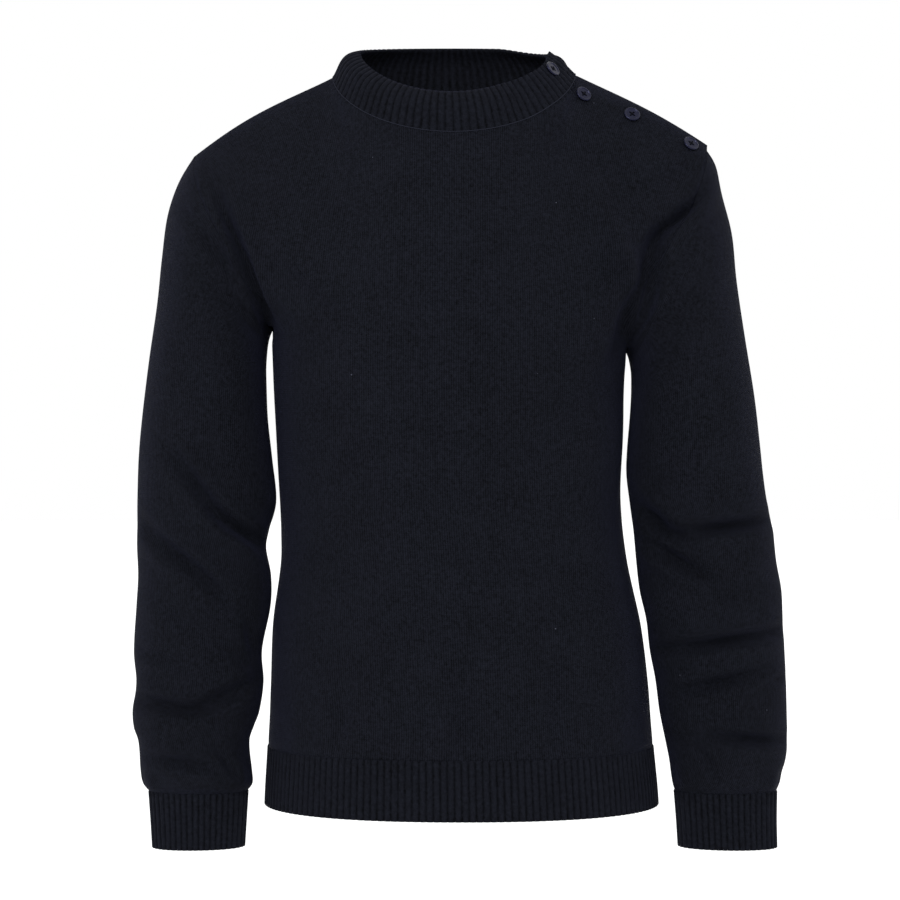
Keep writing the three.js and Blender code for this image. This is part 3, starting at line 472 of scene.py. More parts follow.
def panel_point(face, column, row):
    """Rows run from -1 at the hem join through 0 at the armpits to 1 at the upper edge."""
    level = armpit_level(column)
    if row <= 0:
        return body_point(face, column, lerp(HEM_JOIN + SEAM_GAP, level, row + 1))
    height = (1 - cos(pi * row)) / 2
    armhole = side_armhole(column)
    low = body_point(face, column, level)
    top = upper_edge_point(face, column)
    if row == 1:
        return top
    depth = depth_share(column)
    bow = armhole_bow(armhole, face, height) * abs(across_share(column)) ** 8
    x = lerp(low.x, top.x, height) + bow
    z = lerp(low.z, top.z, height)
    softening = (2 * sqrt(max(height * (1 - height), 0))) ** min(3 * depth, 1)
    side_bulge = armhole_depth(armhole, face, height) * (1 - depth) ** 1.2 * softening
    return Vector((x, chest_depth(face, low, top, z, depth, side_bulge), z))


def chest_depth(face, low, top, z, depth, side_bulge):
    """How far forward or back the cloth lies above the armpits: it drapes down from the crown, is
    drawn in to its upper edge, and turns over the shoulder in a round ridge"""
    drape = FRONT_DRAPE if face < 0 else BACK_DRAPE
    from_middle = abs(top.x - NECK["middle_x"])
    neck_share = from_middle / NECK["half_width"]
    steepness = drape["steepness"] + drape["neck_steepness"] * (1 - smooth(neck_share, 0, 1.3))
    crown_z = NECK["side_z"] + CROWN_RISE * (1 - neck_share ** 2) if neck_share < 1 else top.z
    crown_y = face * CROWN_DEPTH * exp(-CROWN_NARROWING * neck_share ** 2)

    def draped(level):
        rise = max((level - low.z) / (crown_z - low.z), 0)
        return lerp(crown_y, low.y, 1 - rise ** steepness)

    past_neck = smooth(from_middle - NECK["half_width"], 0, drape["ridge_fade"])
    radius = lerp(drape["neck_ridge"], RIDGE_RADIUS, past_neck) * smooth(depth, 0, 0.35)

    def ridge_squared(level):
        drop = max(crown_z - level, 0)
        return 2 * radius * drop * exp(-drop / RIDGE_REACH)

    edge_slant = face * sqrt(max(top.y ** 2 - ridge_squared(top.z), 0))
    drawn_in = (edge_slant - draped(top.z)) * exp((z - top.z) / drape["edge_reach"])
    return face * hypot(draped(z) + drawn_in + side_bulge, sqrt(ridge_squared(z)))


def lap_share(point):
    """How fully the front is lifted near the left shoulder, where it lies on the button stand"""
    neck = shoulder_point(LEFT_ARMHOLE, 0)
    along = shoulder_point(LEFT_ARMHOLE, 1) - neck
    share = clamp((point - neck).dot(along) / along.length_squared, 0, 1)
    distance = (point - neck - along * share).length
    reach = lerp(LAP_REACH, LAP_REACH_AT_ARMHOLE, smooth(share, 0.7, 1))
    return 1 - smooth(distance, reach, reach + LAP_FADE)


def fold_height(folds, face, point):
    height = 0
    for fold_face, x1, z1, x2, z2, width, peak in folds:
        if fold_face != face:
            continue
        run_x = x2 - x1
        run_z = z2 - z1
        length = hypot(run_x, run_z)
        across = ((point.x - x1) * run_z - (point.z - z1) * run_x) / (length * width * FOLD_SHARPNESS)
        if abs(across) > FOLD_REACH:
            continue
        along = ((point.x - x1) * run_x + (point.z - z1) * run_z) / length
        past = max(-along, along - length, 0) / (1.5 * width)
        taper = lerp(FOLD_END_SHARE, 1, sin(pi * clamp(along / length, 0.05, 0.95)))
        height += peak * taper * (1 - across * across) * exp(-0.7 * across * across - past * past)
    return height


def gather_wave(along):
    """Uneven soft pleats along a rib's join, from -1 to 1"""
    return 0.45 * sin(along / 4.1 + 1.3) + 0.35 * sin(along / 6.7 + 4.0) + 0.3 * sin(along / 10.9)


def surface_normal(surface, u, v, outward):
    step = 0.004
    across_u = surface(u + step, v) - surface(u - step, v)
    across_v = surface(u, v + step) - surface(u, v - step)
    normal = across_u.cross(across_v).normalized()
    return normal if normal.dot(outward) >= 0 else -normal


def even(low, high, count):
    return [lerp(low, high, i / count) for i in range(count + 1)]


def distances(line):
    """How far along a line of points each of them is"""
    places = [0.0]
    for i in range(1, len(line)):
        places.append(places[-1] + (line[i] - line[i - 1]).length)
    return places


def equal_steps(curve, low, high, count, samples=3000):
    """Values that part a curve into steps of equal length"""
    lengths = distances([curve(value) for value in even(low, high, samples)])
    steps = []
    sample = 0
    for i in range(count + 1):
        wanted = lengths[-1] * i / count
        while sample < samples - 1 and lengths[sample + 1] < wanted:
            sample += 1
        share = (wanted - lengths[sample]) / (lengths[sample + 1] - lengths[sample])
        steps.append(lerp(low, high, (sample + share) / samples))
    return steps


def rounded(line, middle, strength):
    """The line of points with its bend at one point rounded, fading out on both sides of it"""
    count = len(line)
    places = distances(line)
    places = [place - places[middle] for place in places]
    widths = [(places[min(i + 1, count - 1)] - places[max(i - 1, 0)]) / 2 for i in range(count)]
    result = []
    for i, place in enumerate(places):
        spread = ROUNDING * strength * (1 - smooth(abs(place), 0, ROUNDING_REACH))
        if spread < 0.4:
            result.append(line[i])
            continue
        total = Vector((0, 0, 0))
        weight = 0.0
        for j in range(count):
            apart = (places[j] - place) / spread
            if abs(apart) < 2.5:
                share = exp(-apart * apart / 2) * widths[j]
                total += line[j] * share
                weight += share
        result.append(total / weight)
    return result


def tube_point(table, angle, position):
    """A point of a tube: angle 0 is its outer side, 90 its front and 180 its inner side."""
    turn = radians(angle)
    values = [column_at(table, column, position) for column in range(6)]
    outer_x, outer_z, inner_x, inner_z, middle_y, half_depth = values
    power = 2 / SLEEVE_SQUARENESS
    out = (signed_power(cos(turn), power) + 1) / 2
    forward = signed_power(sin(turn), power)
    y = middle_y - half_depth * forward
    return Vector((lerp(inner_x, outer_x, out), y, lerp(inner_z, outer_z, out)))


def sleeve_point(armhole, table, angle, position):
    """The sleeve starts on its armhole's ring and turns into its own section further down."""
    point = tube_point(table, angle, position)
    share = 1 - smooth(position, 0, SLEEVE_HEAD)
    if share > 0:
        turn = radians(angle)
        face = -1 if sin(turn) > 0 else 1
        head = armhole_point(armhole, face, clamp((cos(turn) + 1) / 2, 0, 1))
        point += (head - tube_point(table, angle, 0)) * share
    return point


def grid_normals(points, turned, wraps):
    """The direction that each point of a grid faces"""
    rows = len(points) - 1
    columns = len(points[0]) - 1
    normals = []
    for row in range(rows + 1):
        upper = points[min(row + 1, rows)]
        lower = points[max(row - 1, 0)]
        line = points[row]
        normals.append([])
        for column in range(columns + 1):
            if wraps:
                along = line[(column + 1) % columns] - line[(column - 1) % columns]
            else:
                along = line[min(column + 1, columns)] - line[max(column - 1, 0)]
            normals[row].append(along.cross(upper[column] - lower[column]).normalized() * turned)
    return normals


def grid_mesh(points):
    """A mesh over a grid of rows of points, and the place in the grid of each of its corners"""
    rows = len(points) - 1
    columns = len(points[0]) - 1
    mesh_data = bmesh.new()
    grid = bmesh.ops.create_grid(mesh_data, x_segments=columns, y_segments=rows, size=1)
    places = {}
    for vertex in grid["verts"]:
        column = round((vertex.co.x + 1) / 2 * columns)
        row = round((vertex.co.y + 1) / 2 * rows)
        places[vertex.index] = (row, column)
        vertex.co = points[row][column] * MM
    smooth_faces(mesh_data)
    return mesh_data, places


def smooth_faces(mesh_data):
    for mesh_face in mesh_data.faces:
        mesh_face.smooth = True


def new_object(name, data):
    made = bpy.data.objects.new(name, data)
    bpy.context.scene.collection.objects.link(made)
    return made


def mesh_object(name, mesh_data, material):
    mesh = bpy.data.meshes.new(name)
    mesh_data.to_mesh(mesh)
    mesh_data.free()
    mesh.materials.append(material)
    return new_object(name, mesh)


def linked(name, mesh_data, material):
    """The finished piece, riding on the one body"""
    piece = mesh_object(name, mesh_data, material)
    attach(piece, "root")
    return piece


def cloth_piece(name, points, material, flipped, wraps=False, wale_steps=None, seams=None):
    """A thin cloth shell over a grid of points. One UV map follows the stitches, in millimetres or,
    with wale_steps, in wales; the other gives the distance to the nearest seam."""
    rows = len(points) - 1
    columns = len(points[0]) - 1
    mesh_data, places = grid_mesh(points)
    run = [distances(line) for line in points]
    rise = list(zip(*[distances(line) for line in zip(*points)]))
    cloth_map = mesh_data.loops.layers.uv.new("cloth")
    seam_map = mesh_data.loops.layers.uv.new("seam")
    for mesh_face in mesh_data.faces:
        for loop in mesh_face.loops:
            row, column = places[loop.vert.index]
            across = wale_steps[column] if wale_steps else run[row][column] - run[row][columns // 2]
            loop[cloth_map].uv = (across, rise[row][column])
            to_seam = FAR_FROM_SEAM
            if seams == "panel" and row >= BODY_ROWS:
                to_seam = min(run[row][column], run[row][columns] - run[row][column])
            if seams == "sleeve":
                to_seam = rise[row][column]
            to_rib = rise[row][column] if seams == "panel" else rise[rows][column] - rise[row][column]
            loop[seam_map].uv = (to_seam, to_rib if seams else FAR_FROM_SEAM)
    if flipped:
        bmesh.ops.reverse_faces(mesh_data, faces=mesh_data.faces)
    if wraps:
        bmesh.ops.remove_doubles(mesh_data, verts=mesh_data.verts, dist=1e-6)
    piece = linked(name, mesh_data, material)
    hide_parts(name)
    wall = piece.modifiers.new("wall", "SOLIDIFY")
    wall.thickness = WALL * MM
    wall.offset = -1
    return piece


def tube_mesh(mesh_data, path, radius, sides):
    """Adds a round tube along a path to a mesh"""
    count = len(path)
    rings = []
    for i, point in enumerate(path):
        along = path[min(i + 1, count - 1)] - path[max(i - 1, 0)]
        along.normalize()
        side = along.cross(UNLIKE_ANY_TUBE).normalized()
        other = along.cross(side)
        rings.append([
            point + (side * cos(2 * pi * k / sides) + other * sin(2 * pi * k / sides)) * radius
            for k in range(sides + 1)
        ])
    tube_data, _ = grid_mesh(rings)
    bmesh.ops.remove_doubles(tube_data, verts=tube_data.verts, dist=1e-7)
    bmesh.ops.holes_fill(tube_data, edges=[edge for edge in tube_data.edges if edge.is_boundary])
    bmesh.ops.recalc_face_normals(tube_data, faces=tube_data.faces)
    mesh = bpy.data.meshes.new("tube")
    tube_data.to_mesh(mesh)
    tube_data.free()
    mesh_data.from_mesh(mesh)
    bpy.data.meshes.remove(mesh)


def new_material(name):
    material = bpy.data.materials.new(name)
    material.use_nodes = True
    return material, material.node_tree, material.node_tree.nodes["Principled BSDF"]


def node(tree, kind, **inputs):
    made = tree.nodes.new(kind)
    for key, value in inputs.items():
        if hasattr(made, key):
            setattr(made, key, value)
        else:
            made.inputs[key].default_value = value
    return made


def maths(tree, operation, first, second=None):
    made = node(tree, "ShaderNodeMath", operation=operation)
    for index, value in enumerate((first, second)):
        if isinstance(value, (int, float)):
            made.inputs[index].default_value = value
        elif value is not None:
            tree.links.new(value, made.inputs[index])
    return made.outputs[0]


def noise(tree, scale, detail=3.0, roughness=0.6):
    place = tree.nodes.new("ShaderNodeTexCoord")
    texture = node(tree, "ShaderNodeTexNoise", Scale=scale, Detail=detail, Roughness=roughness)
    tree.links.new(place.outputs["Object"], texture.inputs["Vector"])
    return texture.outputs[0]


def mixed(tree, share, first, second):
    """A colour between two, each a tuple or another node's colour"""
    made = node(tree, "ShaderNodeMix", data_type="RGBA")
    for socket, value in (("A", first), ("B", second)):
        target = next(item for item in made.inputs if item.name == socket and item.type == "RGBA")
        if isinstance(value, tuple):
            target.default_value = (*value, 1)
        else:
            tree.links.new(value, target)
    factor = next(item for item in made.inputs if item.name == "Factor" and item.type == "VALUE")
    tree.links.new(share, factor)
    return next(item for item in made.outputs if item.type == "RGBA")


def knit_material(name, wale, ribbed=False):
    """Navy wool: columns of V-shaped stitches, soft mottling, a short nap and a few flecks of lint.
    A ribbed cloth has one wale for each rib; its valleys, like those between stitches, hold painted
    shade."""
    material, tree, shader = new_material(name)
    cloth_map = node(tree, "ShaderNodeUVMap", uv_map="cloth")
    parts = tree.nodes.new("ShaderNodeSeparateXYZ")
    tree.links.new(cloth_map.outputs["UV"], parts.inputs[0])
    across = maths(tree, "FRACT", maths(tree, "DIVIDE", parts.outputs["X"], wale))
    from_middle = maths(tree, "ABSOLUTE", maths(tree, "SUBTRACT", across, 0.5))
    off_middle = maths(tree, "MULTIPLY", from_middle, 2.0)
    course = RIB_COURSE if ribbed else COURSE
    slanted = maths(tree, "ADD", maths(tree, "DIVIDE", parts.outputs["Y"], course),
                    maths(tree, "MULTIPLY", off_middle, STITCH_SLANT))
    stitch = maths(tree, "SINE", maths(tree, "MULTIPLY", maths(tree, "FRACT", slanted), pi))
    wale_shape = maths(tree, "SUBTRACT", 1.0, maths(tree, "POWER", off_middle, 3.0 if ribbed else 2.0))
    stitch_share = 0.3 if ribbed else 0.45
    fullness = maths(tree, "ADD", 1 - stitch_share, maths(tree, "MULTIPLY", stitch, stitch_share))
    stitch_height = maths(tree, "MULTIPLY", wale_shape, fullness)

    nap = noise(tree, NAP_SCALE, 2.0, 0.7)
    wool = noise(tree, WOOL_SCALE, 3.0, 0.7)
    mottle = noise(tree, MOTTLE_SCALE, 3.0)
    seam_map = node(tree, "ShaderNodeUVMap", uv_map="seam")
    seam_parts = tree.nodes.new("ShaderNodeSeparateXYZ")
    tree.links.new(seam_map.outputs["UV"], seam_parts.inputs[0])
    to_seam = maths(tree, "MINIMUM", seam_parts.outputs["X"], seam_parts.outputs["Y"])
    off_seam = maths(tree, "MINIMUM", maths(tree, "DIVIDE", to_seam, SEAM_WIDTH), 1.0)
    seam = maths(tree, "SUBTRACT", 1.0, off_seam)

    height = maths(tree, "ADD", stitch_height, maths(tree, "MULTIPLY", nap, NAP_BUMP))
    height = maths(tree, "SUBTRACT", height, maths(tree, "MULTIPLY", seam, SEAM_BUMP))
    bump = node(tree, "ShaderNodeBump", Strength=0.8, Distance=STITCH_DEPTH * MM)
    tree.links.new(height, bump.inputs["Height"])
    tree.links.new(bump.outputs["Normal"], shader.inputs["Normal"])

    # Painted shade: the stitch pattern makes the raised stitches lighter and the valleys between them
    # darker.
    tone = 0.5
    tone_parts = ((stitch_height, STITCH_SHADE_TONE), (wool, WOOL_TONE), (nap, NAP_TONE), (mottle, MOTTLE_TONE))
    for pattern, strength in tone_parts:
        centred = maths(tree, "SUBTRACT", pattern, 0.5)
        tone = maths(tree, "ADD", tone, maths(tree, "MULTIPLY", centred, strength))
    tone = maths(tree, "SUBTRACT", tone, maths(tree, "MULTIPLY", seam, SEAM_TONE))
    tone = maths(tree, "MINIMUM", maths(tree, "MAXIMUM", tone, 0.0), 1.0)
    shade = RIB_SHADE if ribbed else 1
    dark = tuple(value * DARKEST * shade for value in CLOTH)
    light = tuple(value * LIGHTEST * shade for value in CLOTH)
    colour = mixed(tree, tone, dark, light)
    place = tree.nodes.new("ShaderNodeTexCoord")
    lint = node(tree, "ShaderNodeTexVoronoi", Scale=LINT_SCALE)
    tree.links.new(place.outputs["Object"], lint.inputs["Vector"])
    fleck = maths(tree, "LESS_THAN", lint.outputs["Distance"], LINT_SIZE)
    colour = mixed(tree, fleck, colour, LINT)
    tree.links.new(colour, shader.inputs["Base Color"])
    shader.inputs["Roughness"].default_value = 0.9
    shader.inputs["Specular IOR Level"].default_value = 0.05
    shader.inputs["Sheen Weight"].default_value = 0.024
    shader.inputs["Sheen Roughness"].default_value = 0.3
    shader.inputs["Sheen Tint"].default_value = (*NAP_TINT, 1)
    return material


def plain_material(name, dark, light, scale, roughness, shine, bump_strength):
    """A material with a fine uneven tone and surface"""
    material, tree, shader = new_material(name)
    cloud = noise(tree, scale)
    tree.links.new(mixed(tree, cloud, dark, light), shader.inputs["Base Color"])
    bump = node(tree, "ShaderNodeBump", Strength=bump_strength, Distance=0.0003)
    tree.links.new(cloud, bump.inputs["Height"])
    tree.links.new(bump.outputs["Normal"], shader.inputs["Normal"])
    shader.inputs["Roughness"].default_value = roughness
    shader.inputs["Specular IOR Level"].default_value = shine
    return material


body_knit = knit_material("navy_knit_body", BODY_WALE)
sleeve_knit = knit_material("navy_knit_sleeve", SLEEVE_WALE)
rib_knit = knit_material("navy_rib_knit", 1.0, ribbed=True)
linking_yarn = plain_material("linking_yarn", LINKING_DARK, LINKING_LIGHT, 1500.0, 0.85, 0.06, 0.9)
sewing_thread = plain_material("sewing_thread", THREAD_DARK, THREAD_LIGHT, 2600.0, 0.7, 0.06, 0.5)
glossy_button = plain_material("glossy_button", BUTTON_DARK, BUTTON_LIGHT, 420.0, 0.12, 0.28, 0.05)
button_shader = glossy_button.node_tree.nodes["Principled BSDF"]
button_shader.inputs["Specular Tint"].default_value = (*BUTTON_TINT, 1)


def neck_point_column(side):
    """The column that ends where the shoulder meets the neck"""
    return column_for((NECK["middle_x"] + side * NECK["half_width"] - TOP_MIDDLE) / TOP_HALF_WIDTH)


def nearest_column(column, columns):
    return min(range(len(columns)), key=lambda i: abs(columns[i] - column))


def panel_columns():
    """Columns of a panel, closer together towards the sides"""
    columns = []
    for i in range(PANEL_COLUMNS + 1):
        share = lerp(-1, 1, i / PANEL_COLUMNS)
        columns.append(lerp(column_for(share), share, COLUMN_EVENNESS))
    for side in (-1, 1):
        columns[nearest_column(neck_point_column(side), columns)] = neck_point_column(side)
    return columns


def panel_base(face):
    """A panel's points without its folds, rounded where the chest rises from the body's sections"""
    points = [[panel_point(face, column, row) for column in COLUMNS] for row in PANEL_ROWS]
    low = BODY_ROWS - ARMPIT_ROWS
    high = BODY_ROWS + ARMPIT_ROWS
    for index, column in enumerate(COLUMNS):
        strength = smooth(1 - abs(column), 0, 0.12)
        line = rounded([points[row][index] for row in range(low, high)], ARMPIT_ROWS, strength)
        for row in range(low, high):
            points[row][index] = line[row - low]
    for middle in NECK_POINT_COLUMNS:
        first = middle - ARMPIT_ROWS
        for row in range(BODY_ROWS, len(points)):
            strength = smooth(len(points) - 1 - row, 0, NECK_POINT_FADE_ROWS)
            line = rounded(points[row][first:middle + ARMPIT_ROWS], ARMPIT_ROWS, strength)
            points[row][first:middle + ARMPIT_ROWS] = line
    return points


def sleeve_base(armhole, table):
    """A sleeve's points without its folds, from the armhole down, and round from its inner side"""
    last = len(table) - 1
    positions = even(0, last, SLEEVE_ROWS)
    angles = even(-180, 180, SLEEVE_COLUMNS)
    return [[sleeve_point(armhole, table, angle, position) for angle in angles] for position in positions]


def blend_armhole(panel, sleeve, face, side):
    """Rounds the cloth across an armhole seam, so that the panel runs on smoothly into the sleeve"""
    for row in range(CHEST_ROWS + 1):
        height = row / CHEST_ROWS
        strength = smooth(height, 0.02, 0.22) * smooth(1 - height, 0, 0.1)
        angle = 2 * CHEST_ROWS - row if face < 0 else row
        edge = PANEL_COLUMNS if side > 0 else 0
        inwards = [edge - side * step for step in range(SEAM_COLUMNS, -1, -1)]
        line = [panel[BODY_ROWS + row][column] for column in inwards]
        line[-1] = (line[-1] + sleeve[0][angle]) / 2
        line += [sleeve[step][angle] for step in range(1, SEAM_ROWS + 1)]
        line = rounded(line, SEAM_COLUMNS, strength)
        for step, column in enumerate(inwards):
            panel[BODY_ROWS + row][column] = line[step]
        for step in range(SEAM_ROWS + 1):
            sleeve[step][angle] = line[SEAM_COLUMNS + step]


def share_seam_normals(panel, panel_normals, sleeve_normals, face, side):
    for row in range(CHEST_ROWS + 1):
        angle = 2 * CHEST_ROWS - row if face < 0 else row
        edge = PANEL_COLUMNS if side > 0 else 0
        shared = (panel_normals[BODY_ROWS + row][edge] + sleeve_normals[0][angle]).normalized()
        panel_normals[BODY_ROWS + row][edge] = shared
        sleeve_normals[0][angle] = shared


def dress_panel(face, points, normals):
    """A panel's points with its folds, its gathers above the rib and the lap's lift"""
    dressed = []
    for row, line in enumerate(points):
        dressed.append([])
        for index, point in enumerate(line):
            column = COLUMNS[index]
            to_side = min((1 - abs(column)) * 6, 1)
            above_hem = point.z - HEM_JOIN
            to_hem = smooth(above_hem, 0, FOLD_EDGE)
            to_top = smooth(upper_edge_point(face, column).z - point.z, 0, 2 * FOLD_EDGE)
            lift = FOLD_GAIN * fold_height(BODY_FOLDS, face, point) * to_side * to_hem * to_top
            lift += fold_height(SHOULDER_FOLDS, face, point) * to_top
            if above_hem < HEM_GATHER_REACH:
                reach = smooth(above_hem, 0, 9) * (1 - smooth(above_hem, 12, HEM_GATHER_REACH))
                lift += HEM_GATHER * gather_wave(point.x + FACE_SHIFT * face) * reach * to_side
                lift += HEM_BLOUSE * smooth(above_hem, 0, 7) * (1 - smooth(above_hem, 7, 34)) * to_side
            if face < 0 and column > 0 and row > BODY_ROWS:
                lift += LAP_LIFT * lap_share(point)
            dressed[row].append(point + normals[row][index] * lift)
    return dressed


def dress_sleeve(table, folds, points, normals):
    last = len(table) - 1
    cuff_z = table[last][1]
    dressed = []
    for row, line in enumerate(points):
        position = last * row / SLEEVE_ROWS
        edge = smooth(position, 0, 3) * smooth(last - position, 0, 1.5)
        dressed.append([])
        for index, point in enumerate(line):
            turn = radians(lerp(-180, 180, index / SLEEVE_COLUMNS))
            face = -1 if sin(turn) > 0 else 1
            facing = smooth(abs(sin(turn)), 0, 0.6)
            lift = FOLD_GAIN * fold_height(folds, face, point) * facing * edge
            lift += fold_height(SHOULDER_FOLDS, face, point) * facing
            above_cuff = point.z - cuff_z
            if above_cuff < CUFF_GATHER_REACH:
                reach = smooth(above_cuff, 0, 7) * (1 - smooth(above_cuff, 9, CUFF_GATHER_REACH))
                lift += CUFF_GATHER * gather_wave(turn * CUFF_GATHER_TURN) * reach
            dressed[row].append(point + normals[row][index] * lift)
    return dressed


PANEL_ROWS = even(-1, 0, BODY_ROWS) + even(0, 1, CHEST_ROWS)[1:]
COLUMNS = panel_columns()
NECK_POINT_COLUMNS = [nearest_column(neck_point_column(side), COLUMNS) for side in (-1, 1)]

SLEEVES = {
    1: dict(name="left_sleeve", armhole=LEFT_ARMHOLE, table=LEFT_SLEEVE, folds=LEFT_SLEEVE_FOLDS),
    -1: dict(name="right_sleeve", armhole=RIGHT_ARMHOLE, table=RIGHT_SLEEVE, folds=RIGHT_SLEEVE_FOLDS),
}


def make_body_and_sleeves():
    panels = {face: panel_base(face) for face in (-1, 1)}
    sleeves = {side: sleeve_base(SLEEVES[side]["armhole"], SLEEVES[side]["table"]) for side in (-1, 1)}
    for face in (-1, 1):
        for side in (-1, 1):
            blend_armhole(panels[face], sleeves[side], face, side)
    panel_normals = {face: grid_normals(panels[face], -face, False) for face in (-1, 1)}
    sleeve_normals = {side: grid_normals(sleeves[side], side, True) for side in (-1, 1)}
    for face in (-1, 1):
        for side in (-1, 1):
            share_seam_normals(panels[face], panel_normals[face], sleeve_normals[side], face, side)
    for face, name, area in ((-1, "front_panel", 0.275), (1, "back_panel", 0.285)):
        points = dress_panel(face, panels[face], panel_normals[face])
        panels[face] = points
        piece = cloth_piece(name, points, body_knit, face > 0, seams="panel")
    for side, parts in SLEEVES.items():
        points = dress_sleeve(parts["table"], parts["folds"], sleeves[side], sleeve_normals[side])
        piece = cloth_piece(parts["name"], points, sleeve_knit, side < 0, wraps=True,
                            seams="sleeve")
    return panels, panel_normals


def make_stand(front, front_normals):
    """The strip under the front's lap, on which the shoulder buttons are sewn"""
    first = NECK_POINT_COLUMNS[1]
    rows = range(len(PANEL_ROWS) - STAND_ROWS, len(PANEL_ROWS))
    points = [[front[row][i] - front_normals[row][i] * LAP_LIFT for i in range(first, len(COLUMNS))]
              for row in rows]
    piece = cloth_piece("button_stand", points, body_knit, False)


def rib_height(step):
    """Round ribs with narrow valleys between them"""
    return RIB_RELIEF * (RIB_FULLNESS * abs(sin(pi * step / RIB_POINTS)) ** RIB_ROUNDNESS - RIB_VALLEY)


def ribbed_piece(name, surface, normal, steps, rows, tuck, flipped, wraps):
    """A ribbed band over steps and rows. tuck is the row that goes under the plain knit,
    and the direction in which it goes on there."""
    points = [
        [surface(step, row) + normal(step, row) * rib_height(i) for i, step in enumerate(steps)]
        for row in rows
    ]
    tuck_row, tuck_way = tuck
    tucked = []
    for step in steps:
        place = surface(step, tuck_row)
        tucked.append(place + tuck_way(step) * TUCK_DEPTH - normal(step, tuck_row) * TUCK_INWARDS)
    points = [tucked] + points if tuck_row == rows[0] else points + [tucked]
    wale_steps = [i / RIB_POINTS for i in range(len(steps))]
    piece = cloth_piece(name, points, rib_knit, flipped, wraps, wale_steps)


def upwards(step):
    return Vector((0, 0, 1))


def make_hem_half(name, face):
    def surface(column, z):
        return body_point(face, clamp(column, -1, 1), z)

    def normal(column, z):
        inner = clamp(column, -0.995, 0.995)
        direction = surface_normal(surface, inner, z, surface(inner, z) - Vector((0, 0, z)))
        direction.z = 0
        return direction.normalized()

    steps = equal_steps(lambda column: surface(column, HEM_JOIN), -1, 1, RIB_POINTS * HEM_RIBS_EACH_HALF)
    rows = even(HEM_BOTTOM, HEM_JOIN, RIB_ROWS)
    ribbed_piece(name, surface, normal, steps, rows, (HEM_JOIN, upwards), face > 0, False)


def make_cuff(name, table):
    last = len(table) - 1

    def surface(angle, position):
        return tube_point(table, angle * 90, clamp(position, 0, last))

    def normal(angle, position):
        middle = (surface(0, position) + surface(2, position)) / 2
        place = surface(angle, position)
        direction = surface_normal(surface, angle, clamp(position, 0.01, last - 0.01), place - middle)
        direction.z = 0
        return direction.normalized()

    steps = equal_steps(lambda angle: surface(angle, 1), -2, 2, RIB_POINTS * CUFF_RIBS)
    ribbed_piece(name, surface, normal, steps, even(0, last, RIB_ROWS), (0, upwards),
                 table is RIGHT_CUFF, True)


def collar_point(angle, height):
    base = neck_point(NECK, angle)
    top = neck_point(COLLAR_TOP, angle)
    return base.lerp(top, height)


def collar_normal(angle, height):
    def upright(u, v):
        return collar_point(u * 90, clamp(v, 0, 1))

    point = collar_point(angle, height)
    inside = Vector((0, 0, point.z))
    return surface_normal(upright, angle / 90, clamp(height, 0.01, 0.99), point - inside)


def collar_outer(angle, height):
    lapped = 1 if angle >= 90 else (lap_share(neck_point(NECK, angle)) if angle > 0 else 0)
    rolled = lerp(COLLAR_ROLL, COLLAR_ROLL_AT_BUTTON, smooth(angle, 15, 50))
    roll = rolled * sin(pi * height ** 1.3)
    height *= 1 - COLLAR_SIDE_DROP * smooth(sin(radians(angle)), 0.5, 1)
    height *= 1 - COLLAR_END_ROUNDING * smooth(angle, COLLAR_FRONT_END - 4, COLLAR_FRONT_END) ** 2
    return collar_point(angle, height) + collar_normal(angle, height) * (COLLAR_LAP_LIFT * lapped + roll)


def make_collar():
    def downwards(angle):
        return (neck_point(NECK, angle) - neck_point(COLLAR_TOP, angle)).normalized()

    ends = (COLLAR_FRONT_END, COLLAR_BACK_END - 360)
    steps = equal_steps(lambda angle: collar_point(angle, 0.5), *ends, RIB_POINTS * COLLAR_RIBS)
    ribbed_piece("collar", collar_outer, collar_normal, steps, even(0, 1, COLLAR_ROWS),
                 (0, downwards), True, False)
    path = [
        collar_outer(angle, 0) + collar_normal(angle, 0) * LINKING_OFFSET
        for angle in even(*ends, LINKING_STEPS)
    ]
    cord = bmesh.new()
    tube_mesh(cord, path, LINKING_RADIUS, LINKING_SIDES)
    smooth_faces(cord)
    linked("collar_linking", cord, linking_yarn)


